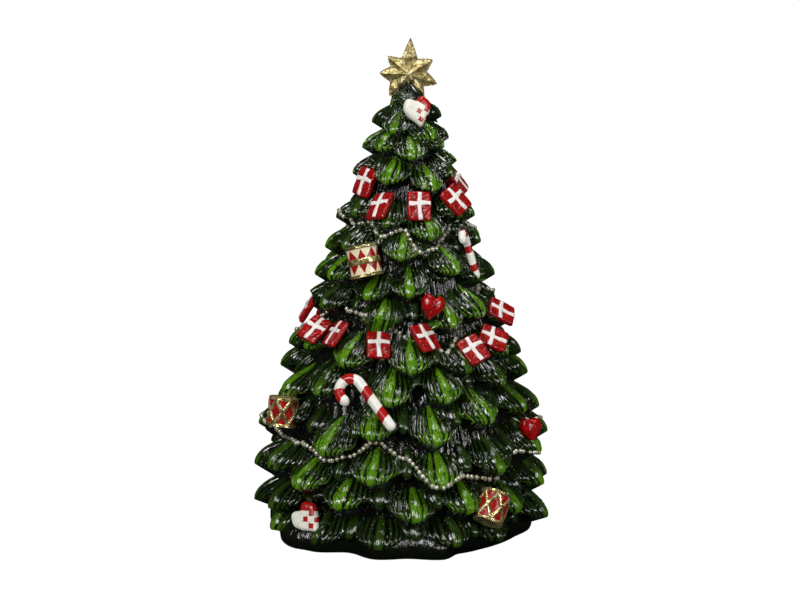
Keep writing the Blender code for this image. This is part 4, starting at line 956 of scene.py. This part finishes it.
def carried(shape, path, radius, columns, **marks):
    """A circle of changing radius carried along a path, kept square to it."""
    ahead = unit(np.gradient(path, axis=0))
    side = unit(np.cross(ahead, UP + 1e-6))
    up = np.cross(side, ahead)
    angle = np.linspace(0, 2 * np.pi, columns, endpoint=False)
    ring = np.cos(angle)[None, :, None] * side[:, None] + np.sin(angle)[None, :, None] * up[:, None]
    points = path[:, None] + np.asarray(radius).reshape(-1, 1, 1) * ring
    around = np.linspace(0, 1, columns + 1)
    shape.grid(points, around, np.linspace(0, 1, len(path)), around=True, flip=True, **marks)


def cane_shape(node, facing, turn, straight, bend, radius, bands):
    """A cane: a circle carried up a straight stem and round an arc, closed by round ends."""
    shape = Shape("paint")
    arc = bend * math.radians(CANE_SWEEP)
    length = straight + arc
    run = crowded(-1, 1, 121) * 0.5 + 0.5
    run = 0.5 * run + 0.5 * np.linspace(0, 1, 121)
    place = run * length
    angle = np.maximum(0.0, place - straight) / bend
    rise = np.minimum(place, straight) - straight + bend * np.sin(angle)
    path = np.stack([bend * np.cos(angle) - bend, rise, 0 * angle], -1)
    ends = np.minimum(place, length - place) / radius
    girth = radius * np.sqrt(np.clip(1 - (1 - np.minimum(ends, 1)) ** 2, 0, 1))
    from_hook = 1 - run
    turns = np.linspace(0, 2 * np.pi, 28, endpoint=False)
    slant = from_hook[:, None] + 0.018 * np.cos(turns)[None, :]
    paint = sum((np.abs(slant - band) < CANE_BAND) * 1.0 for band in bands)
    carried(shape, path, girth, 28, paint=paint)
    shape.settle(node, seat(facing, CANE_LEAN, turn))
    return shape


def garland_shape(knots, surface, seed):
    """Beads threaded along a swag that lies on the boughs and eases by a smooth step from knot to knot."""
    shape = Shape()
    chance = np.random.default_rng(seed)
    places = np.array(knots + ((knots[0][0] + 360, *knots[0][1:]),), float)
    azimuth = np.linspace(places[0, 0], places[-1, 0], 721)[:-1]
    span, share = spans(places[:, 0], azimuth)
    ease = eased(share)[:, None]
    height, depth = (places[span, 1:] + (places[span + 1, 1:] - places[span, 1:]) * ease).T * MM
    route = reach(height) - depth
    level = np.stack([0 * height, 0 * height, height], -1)
    lying = []
    for start, way in zip((level + 0.2 * outward(azimuth)).tolist(), (-outward(azimuth)).tolist()):
        hit = surface.ray_cast(start, way)[0]
        lying.append(np.hypot(hit[0], hit[1]))
    lying = np.clip(np.array(lying), route - 4 * MM, route + 3 * MM)
    kernel = np.hanning(13)
    padded = np.concatenate([lying[-6:], lying, lying[:6]])
    smooth = np.convolve(padded, kernel / kernel.sum(), "valid")
    radius = np.maximum(smooth, lying - 0.3 * MM) + 0.35 * MM
    radius = np.where(depth > GARLAND_HIDDEN, route, radius)
    points = outward(azimuth) * radius[:, None] + level
    closed = np.concatenate([points, points[:1]])
    travelled = np.concatenate([[0.0], np.cumsum(np.linalg.norm(np.diff(closed, axis=0), axis=1))])
    count = int(travelled[-1] / BEAD_STEP)
    steps = (np.arange(count) + chance.uniform(-BEAD_STRAY, BEAD_STRAY, count)) * travelled[-1] / count
    centres = np.stack([np.interp(steps, travelled, closed[:, axis]) for axis in range(3)], -1)
    centres = centres + chance.normal(0, 0.12 * MM, centres.shape)
    turn = np.linspace(0, 2 * np.pi, 10, endpoint=False)[None, :]
    tilt = np.linspace(-np.pi / 2, np.pi / 2, 7)[:, None]
    ball = np.stack([np.cos(tilt) * np.cos(turn), np.cos(tilt) * np.sin(turn), np.sin(tilt) + 0 * turn], -1)
    for centre, size in zip(centres, chance.uniform(0.85, 1.12, count)):
        shape.grid(centre + ball * BEAD_RADIUS * size, around=True)
    thread = np.concatenate([centres, centres[:1]])
    carried(shape, thread, np.full(len(thread), THREAD_RADIUS), 6)
    return shape


def star_shape():
    """A star in rings: straight edges from tip to valley in polar form, and a ridge out to each tip."""
    shape = Shape()
    tips = np.array(STAR_TIPS)
    steps = np.concatenate([tips[:, 0], [tips[0, 0] + 360]])
    valleys = (steps[:-1] + steps[1:]) / 2
    bends = np.sort(np.concatenate([steps, valleys]))
    reaches = np.empty(len(bends))
    reaches[0::2] = np.concatenate([tips[:, 1], tips[:1, 1]])
    reaches[1::2] = tips[:, 2]
    angle = np.linspace(bends[0], bends[-1], 169)[:-1]
    span, along = spans(bends, angle)
    start, end = reaches[span], reaches[span + 1]
    width = np.radians(bends[span + 1] - bends[span])
    turn = along * width
    edge = start * end * np.sin(width) / (start * np.sin(turn) + end * np.sin(width - turn))
    valley = np.where(span % 2 == 0, along, 1 - along)
    edge = edge * MM * (1 - 0.07 * (1 - valley) ** 6)
    ring = np.linspace(0, 1, 25)[:, None]
    clock = np.radians(angle)
    x, y = ring * edge * np.sin(clock), ring * edge * np.cos(clock)
    ridge = (1 - ring ** 1.5) ** (1 + 1.6 * valley ** 0.7)
    lumps = 0.25 * MM * np.sin(x / (1.3 * MM)) * np.sin(y / (1.6 * MM) + 1) * np.sin(np.pi * ring)
    high = STAR_RIM / 2 + (STAR_THICK / 2 - STAR_RIM / 2) * ridge + lumps
    cosine, sine = math.cos(math.radians(STAR_LEAN)), math.sin(math.radians(STAR_LEAN))

    def leaned(x, y, z):
        return np.stack([x * cosine + y * sine, -z, y * cosine - x * sine], -1) + np.array(STAR_CENTRE)

    for way in (1, -1):
        shape.grid(leaned(x, y, way * high), around=True, flip=way > 0)
    rims = [leaned(x[-1], y[-1], np.full(x[-1].shape, way * STAR_RIM / 2)) for way in (-1, 1)]
    shape.grid(np.stack(rims), around=True, flip=True)
    radius, foot, top = STAR_PEG
    turned(shape, [(0.0, foot), (radius, foot), (radius, top), (0.0, top)], 20, (0.0, STAR_CENTRE[1]))
    return shape


def grime_and_glints(finish, colour, amount, dark=(0.05, 0.045, 0.03)):
    """Paint with cloudy thin dirt and small specks of one colour: dark specks are dirt, pale specks on red
    are painted glints.
    """
    spot = finish.spot()
    clouds = finish.noise(spot, 600.0, 3.0).rise(0.48, 0.75) * amount
    dots = specks(finish, spot, 1500.0, 0.28, 0.08) * 0.7
    return finish.mix(clouds.top(dots), colour, dark)


def enamel_finish(name, paint, plain, gloss=0.22, uneven=0.25 * MM):
    """Lacquered paint: one colour where the mark is, another elsewhere, with glints from an uneven coat; red
    paint also gets pale specks that are painted glints.
    """
    finish = Finish(name, Roughness=gloss, Specular_IOR_Level=0.5)
    spot = finish.spot()
    mottled = finish.noise(spot, 450.0, 3.0)
    pale = min(plain) > 0.3
    colour = finish.mix(mottled.rise(0.35, 0.7), tuple(c * (0.9 if pale else 0.55) for c in plain), plain)
    # Specks: dark dirt on pale paint; on red, pale pink painted glints
    colour = grime_and_glints(finish, colour, 0.0, (0.1, 0.09, 0.06) if pale else (0.6, 0.35, 0.3))
    if paint is not None:
        share = finish.mark("paint").rise(0.35, 0.6)
        colour = finish.mix(share, colour, grime_and_glints(finish, paint, 0.3))
    finish.feed("Base Color", colour)
    finish.relief(finish.noise(spot, 900.0, 2.0), uneven, 0.8)
    return finish.material


GOLD_METAL = 0.75


def gold_colour(finish):
    """Colour of gold leaf, from brown where it is worn to pale painted highlights where it shines."""
    wear_and_shine = finish.noise(finish.spot(), 380.0, 4.0, 0.65)
    leaf = finish.mix(wear_and_shine.rise(0.34, 0.58), (0.22, 0.16, 0.045), (0.72, 0.60, 0.27))
    # Painted highlights: pale patches where the leaf would shine
    leaf = finish.mix(wear_and_shine.rise(0.56, 0.68), leaf, (0.92, 0.87, 0.58))
    return leaf


def gold_leaf():
    """Worn gold all over."""
    finish = Finish("gold_leaf", Roughness=0.34, Metallic=GOLD_METAL)
    finish.feed("Base Color", gold_colour(finish))
    finish.relief(finish.noise(finish.spot(), 700.0, 4.0), 0.5 * MM)
    return finish.material


def drum_enamel():
    """Red or red and cream walls with gold rims and cords."""
    finish = Finish("drum_enamel", Roughness=0.22, Specular_IOR_Level=0.5)
    gold, paint, cream = (finish.mark(name).rise(0.4, 0.6) for name in ("gold", "paint", "cream"))
    mottled = finish.noise(finish.spot(), 450.0).rise(0.35, 0.7)
    red = finish.mix(mottled, (0.20, 0.003, 0.003), (0.40, 0.005, 0.005))
    pale = finish.mix(paint, grime_and_glints(finish, (0.80, 0.72, 0.48), 0.2), red)
    colour = finish.mix(cream, red, pale)
    finish.feed("Base Color", finish.mix(gold, colour, gold_colour(finish)))
    finish.feed("Metallic", gold * GOLD_METAL)
    finish.relief(finish.noise(finish.spot(), 900.0, 2.0), 0.25 * MM, 0.8)
    return finish.material


# The woven heart's pattern, in widths of the heart: where its cap begins, its diamonds and their half width
HALF_ROOT = 0.7071
WOVEN_CAP = 0.262
WOVEN_DIAMONDS = ((0.0, 0.0), (0.0, -0.285), (0.27, -0.27), (0.27, 0.0))
WOVEN_DIAMOND = 0.082


def woven_enamel():
    """White heart with a red cap on one lobe and small red diamonds, placed by the heart's own map."""
    finish = Finish("woven_enamel", Roughness=0.25, Specular_IOR_Level=0.5)
    x, y, _ = finish.split(finish.place())
    slant, rise = (x + y) * HALF_ROOT, (y - x) * HALF_ROOT
    red = slant > WOVEN_CAP
    for right, up in WOVEN_DIAMONDS:
        a, b = (right + up) * HALF_ROOT, (up - right) * HALF_ROOT
        far = (slant - a).size().top((rise - b).size())
        red = red.top(far < WOVEN_DIAMOND)
    white = grime_and_glints(finish, (0.82, 0.80, 0.70), 0.3)
    finish.feed("Base Color", finish.mix(red, white, (0.39, 0.006, 0.006)))
    finish.relief(finish.noise(finish.spot(), 700.0, 2.0), 0.2 * MM, 0.7)
    return finish.material


def bead_metal():
    """Silver-gold beads, some warmer than others."""
    finish = Finish("bead_metal", Roughness=0.26, Metallic=0.55, Specular_IOR_Level=0.6)
    tone = finish.noise(finish.spot(), 500.0)
    finish.feed("Base Color", finish.mix(tone.rise(0.35, 0.65), (0.40, 0.36, 0.22), (0.74, 0.74, 0.66)))
    return finish.material


class FigurineSizes(bpy.types.PropertyGroup):
    """Sizes that a user might change."""

    rib_depth: FloatProperty(name="Rib depth", description="How far the ribs of a bough stand up",
                             default=2.0 * MM, unit="LENGTH")


class FigurineFinishes(bpy.types.PropertyGroup):
    """Colours and gloss of the finishes."""

    groove_black: FloatVectorProperty(name="Groove black", description="Colour between the ribs",
                                      default=(0.0022, 0.0038, 0.0012), subtype="COLOR")
    deep_green: FloatVectorProperty(name="Deep green", description="Colour of the unpainted ribs",
                                    default=(0.006, 0.015, 0.002), subtype="COLOR")
    leaf_green: FloatVectorProperty(name="Leaf green", description="Colour of the painted ribs",
                                    default=(0.086, 0.222, 0.004), subtype="COLOR")
    resin_gloss: FloatProperty(name="Resin gloss", description="Specular level of the lacquered resin",
                               default=0.7, min=0.0, max=1.0, subtype="FACTOR")


class FigurineStudio(bpy.types.PropertyGroup):
    """Camera and lamps."""

    distance: FloatProperty(name="Distance", description="From the camera to the tree", default=1.5,
                            unit="LENGTH")
    elevation: FloatProperty(name="Elevation", description="How far the camera looks down",
                             default=math.radians(13.0), subtype="ANGLE")
    roll: FloatProperty(name="Roll", description="Tilt of the picture", default=math.radians(0.95),
                        subtype="ANGLE")
    lens: FloatProperty(name="Lens", description="Focal length in millimetres on a 36 mm sensor",
                        default=144.45, unit="CAMERA")
    key: FloatProperty(name="Key lamp", description="Watts of the key lamp", default=9.0, unit="POWER")


class FIGURINE_OT_trunk(bpy.types.Operator):
    """Builds the trunk, foot and hollow of the casting"""

    bl_idname = "figurine.trunk"
    bl_label = "Trunk"

    def execute(self, context):
        finish = lacquered_resin()
        dress(trunk_shape().build("trunk", finish), "resin_green", "tree_casting")
        dress(foot_shape().build("foot", finish), "resin_green", "tree_casting")
        return {"FINISHED"}


class FIGURINE_OT_boughs(bpy.types.Operator):
    """Builds the rings of ribbed boughs"""

    bl_idname = "figurine.boughs"
    bl_label = "Boughs"

    def execute(self, context):
        finish = bpy.data.materials["lacquered_resin"]
        SEATS.update(seats())
        for ring in range(len(BOUGH_RINGS)):
            shape = Shape("crest", "bright")
            boughs = ring_of_boughs(ring)
            for index, (azimuth, tip, bright, shift) in enumerate(boughs):
                spread = FOOT_SPREAD.get(azimuth, FOOT_DRAWN) * MM if ring == len(BOUGH_RINGS) - 1 else 0.0
                sink, stretch = (CAP_SINK, CAP_STRETCH) if ring == 0 else (-spread, 1.0)
                bough(shape, 100 * ring + index, azimuth, tip, bright, shift, sink, stretch)
            dress(shape.build(f"boughs_ring_{ring + 1}", finish), "resin_green", "tree_casting")
            shape = Shape("crest", "bright")
            stretch = CAP_STRETCH if ring == 0 else FILLER_STRETCH
            # Fillers are painted nearly without green: painted shade for the deep gaps between boughs
            for index, (azimuth, tip) in enumerate(fillers(boughs)):
                bough(shape, 2000 + 100 * ring + index, azimuth, tip, 0.04, 0.0, FILLER_SINK, stretch,
                      FILLER_ACROSS, FILLER_ALONG)
            dress(shape.build(f"inner_boughs_ring_{ring + 1}", finish), "resin_green", "tree_casting")
        return {"FINISHED"}


def ornaments(rows, shape, finish, slot):
    """Build the ornaments of a table; a row has the solid's name, then what its shape takes."""
    for node, *values in rows:
        dress(shape(node, *values).build("painted_" + node, finish), slot, node)


class FIGURINE_OT_flags(bpy.types.Operator):
    """Builds the two rows of flags"""

    bl_idname = "figurine.flags"
    bl_label = "Flags"

    def execute(self, context):
        finish = enamel_finish("flag_enamel", (0.84, 0.78, 0.74), (0.39, 0.004, 0.004))
        ornaments(FLAGS, flag_shape, finish, "flag_enamel")
        return {"FINISHED"}


class FIGURINE_OT_drums(bpy.types.Operator):
    """Builds the drums"""

    bl_idname = "figurine.drums"
    bl_label = "Drums"

    def execute(self, context):
        ornaments(DRUMS, drum_shape, drum_enamel(), "drum_enamel")
        return {"FINISHED"}


class FIGURINE_OT_hearts(bpy.types.Operator):
    """Builds the red hearts and the woven hearts"""

    bl_idname = "figurine.hearts"
    bl_label = "Hearts"

    def execute(self, context):
        red, woven = enamel_finish("heart_enamel", None, (0.38, 0.003, 0.003), 0.16), woven_enamel()
        rows = [(*row, *HEART_SIZE, HEART_PUFF) for row in HEARTS]
        ornaments(rows, heart_shape, red, "heart_enamel")
        rows = [(*row, WOVEN_THICK, WOVEN_PUFF) for row in WOVEN_HEARTS]
        ornaments(rows, heart_shape, woven, "woven_enamel")
        return {"FINISHED"}


class FIGURINE_OT_canes(bpy.types.Operator):
    """Builds the candy canes"""

    bl_idname = "figurine.canes"
    bl_label = "Candy canes"

    def execute(self, context):
        red, white = (0.39, 0.005, 0.005), (0.86, 0.84, 0.76)
        finish = enamel_finish("cane_enamel", red, white, 0.25, 0.08 * MM)
        ornaments(CANES, cane_shape, finish, "cane_enamel")
        return {"FINISHED"}


class FIGURINE_OT_garlands(bpy.types.Operator):
    """Threads the swags of beads over the boughs"""

    bl_idname = "figurine.garlands"
    bl_label = "Garlands"

    def execute(self, context):
        finish = bead_metal()
        spots, faces = [], []
        for thing in bpy.data.objects:
            if not thing.name.startswith(("trunk", "foot", "boughs_ring", "inner_boughs")):
                continue
            mesh = thing.data
            places = np.empty(3 * len(mesh.vertices))
            mesh.vertices.foreach_get("co", places)
            mesh.calc_loop_triangles()
            sides = np.empty(3 * len(mesh.loop_triangles), np.int64)
            mesh.loop_triangles.foreach_get("vertices", sides)
            faces.append(sides.reshape(-1, 3) + sum(map(len, spots)))
            spots.append(places.reshape(-1, 3))
        surface = BVHTree.FromPolygons(np.concatenate(spots).tolist(), np.concatenate(faces).tolist(),
                                       all_triangles=True)
        for seed, (node, knots) in enumerate(GARLANDS.items()):
            dress(garland_shape(knots, surface, seed).build("beads_" + node, finish), "bead_metal", node)
        return {"FINISHED"}


class FIGURINE_OT_star(bpy.types.Operator):
    """Builds the star"""

    bl_idname = "figurine.star"
    bl_label = "Star"

    def execute(self, context):
        dress(star_shape().build("gilded_star", gold_leaf()), "gold_leaf", "star_topper")
        return {"FINISHED"}


def clouded(name, scale, dark, light, **plain):
    """A finish whose colour drifts between two."""
    finish = Finish(name, **plain)
    finish.feed("Base Color", finish.mix(finish.noise(finish.spot(), scale), dark, light))
    return finish


def plain_finishes():
    """Finishes of the solids that are shown as they are, by slot."""
    plate = Finish("moulded_black", Base_Color=(0.012, 0.012, 0.012), Specular_IOR_Level=0.4)
    grain = plate.noise(plate.spot(), 2500.0, 2.0)
    plate.feed("Roughness", 0.45 + 0.2 * grain)
    plate.relief(grain, 0.05 * MM, 0.5)
    # The clear lens is coloured near black: painted shade of the dark well it sits in
    lens = clouded("lens_painted_shade", 300.0, (0.003, 0.003, 0.002), (0.012, 0.012, 0.010),
                   Specular_IOR_Level=0.5, Roughness=0.08)
    steel = Finish("sprung_steel", Metallic=1.0, Base_Color=(0.55, 0.54, 0.51))
    steel.feed("Roughness", 0.25 + 0.2 * steel.noise(steel.spot(), 900.0))
    sleeve = clouded("wire_sleeve", 200.0, (0.008, 0.008, 0.008), (0.02, 0.02, 0.02), Roughness=0.4)
    wrap = Finish("cell_wrap", Roughness=0.3, Specular_IOR_Level=0.5)
    scuffs = wrap.noise(wrap.stretch(wrap.spot(), (400.0, 90.0, 400.0)), 1.0, 3.0)
    wrap.feed("Base Color", wrap.mix(scuffs.rise(0.4, 0.7), (0.03, 0.032, 0.036), (0.10, 0.10, 0.11)))
    return {"plate_plastic": plate, "lamp_lens": lens, "contact_steel": steel, "wire_sleeve": sleeve,
            "cell_wrap": wrap}


class FIGURINE_OT_base(bpy.types.Operator):
    """Gives the base, battery bay, lamps and wiring their finishes"""

    bl_idname = "figurine.base"
    bl_label = "Base and lamps"

    def execute(self, context):
        finishes = plain_finishes()
        for thing in frame["nodes"].values():
            for slot in thing.material_slots:
                name = slot.material.name.split(".")[0]
                if name in finishes:
                    slot.material = finishes[name].material
        return {"FINISHED"}


def aimed(name, data, place, target):
    """A lamp or camera that stands at one place and looks at another."""
    back = unit(np.subtract(place, target))
    right = unit(np.cross(UP, back))
    matrix = np.eye(4)
    matrix[:3, :4] = np.stack([right, np.cross(back, right), back, place], -1)
    thing = bpy.data.objects.new(name, data)
    bpy.context.scene.collection.objects.link(thing)
    thing.matrix_world = Matrix(matrix.tolist())
    return thing


class FIGURINE_OT_studio(bpy.types.Operator):
    """Sets up the floor, the lamps and the camera"""

    bl_idname = "figurine.studio"
    bl_label = "Studio"

    def execute(self, context):
        scene, settings = context.scene, context.scene.figurine_studio
        scene.view_settings.view_transform = "Standard"

        shape = Shape()
        edge = np.linspace(-STUDIO_SIZE, STUDIO_SIZE, 3)
        x, y = np.meshgrid(edge, edge)
        shape.grid(np.stack([x, y, 0 * x - FLOOR_DROP], -1))
        finish = Finish("studio_floor", Roughness=1.0, Specular_IOR_Level=0.0)
        seen, mirrored = finish.rays()
        finish.feed("Base Color", finish.mix(mirrored, FLOOR_GREY, FLOOR_MIRRORED))
        glow = finish.node("ShaderNodeEmission", None, {"Color": WHITE, "Strength": FLOOR_GLOW})
        plain = Wire(finish, finish.shader.outputs[0])
        blend = finish.node("ShaderNodeMixShader", None, {0: seen * FLOOR_SHOWN, 1: plain, 2: glow})
        finish.connect(blend, finish.tree.nodes["Material Output"].inputs[0])
        floor = shape.build("studio_floor", finish.material)

        scene.world = bpy.data.worlds.new("studio")
        sky = Graph(scene.world)
        backdrop = sky.tree.nodes["Background"]
        seen, mirrored = sky.rays()
        strength = SKY_LIGHT + (1.0 - SKY_LIGHT) * seen - SKY_UNMIRRORED * mirrored
        sky.connect(WHITE, backdrop.inputs["Color"])
        sky.connect(strength, backdrop.inputs["Strength"])

        for name, place, size, share in LAMPS:
            light = bpy.data.lights.new(name, "AREA")
            light.shape = "DISK"
            light.size = size
            light.energy = share * settings.key
            aimed(name, light, place, LAMPS_AIM)

        lens = bpy.data.cameras.new("camera")
        lens.lens = settings.lens
        lens.sensor_width = 36.0
        lens.clip_end = 30.0
        rise = settings.elevation
        away = outward(0.0) * math.cos(rise) + UP * math.sin(rise)
        camera = aimed("camera", lens, CAMERA_AIM + settings.distance * away, CAMERA_AIM)
        camera.matrix_world = camera.matrix_world @ Matrix.Rotation(settings.roll, 4, "Z")
        scene.camera = camera
        return {"FINISHED"}


OPERATORS = (
    FIGURINE_OT_trunk,
    FIGURINE_OT_boughs,
    FIGURINE_OT_flags,
    FIGURINE_OT_drums,
    FIGURINE_OT_hearts,
    FIGURINE_OT_canes,
    FIGURINE_OT_garlands,
    FIGURINE_OT_star,
    FIGURINE_OT_base,
    FIGURINE_OT_studio,
)
GROUPS = {
    "figurine_sizes": FigurineSizes,
    "figurine_finishes": FigurineFinishes,
    "figurine_studio": FigurineStudio,
}


class FIGURINE_PT_steps(bpy.types.Panel):
    """Lists the steps and their settings"""

    bl_label = "Figurine"
    bl_space_type = "VIEW_3D"
    bl_region_type = "UI"
    bl_category = "Figurine"

    def draw(self, context):
        for step in OPERATORS:
            self.layout.operator(step.bl_idname)
        for name, group in GROUPS.items():
            for setting in group.__annotations__:
                self.layout.prop(getattr(context.scene, name), setting)


def register():
    for group in GROUPS.values():
        bpy.utils.register_class(group)
    for name, group in GROUPS.items():
        setattr(bpy.types.Scene, name, PointerProperty(type=group))
    for step in (*OPERATORS, FIGURINE_PT_steps):
        bpy.utils.register_class(step)


def unregister():
    for step in (*OPERATORS, FIGURINE_PT_steps):
        bpy.utils.unregister_class(step)
    for name, group in GROUPS.items():
        delattr(bpy.types.Scene, name)
        bpy.utils.unregister_class(group)


def main():
    register()
    for step in OPERATORS:
        group, name = step.bl_idname.split(".")
        getattr(getattr(bpy.ops, group), name)()


if __name__ == "__main__":
    main()
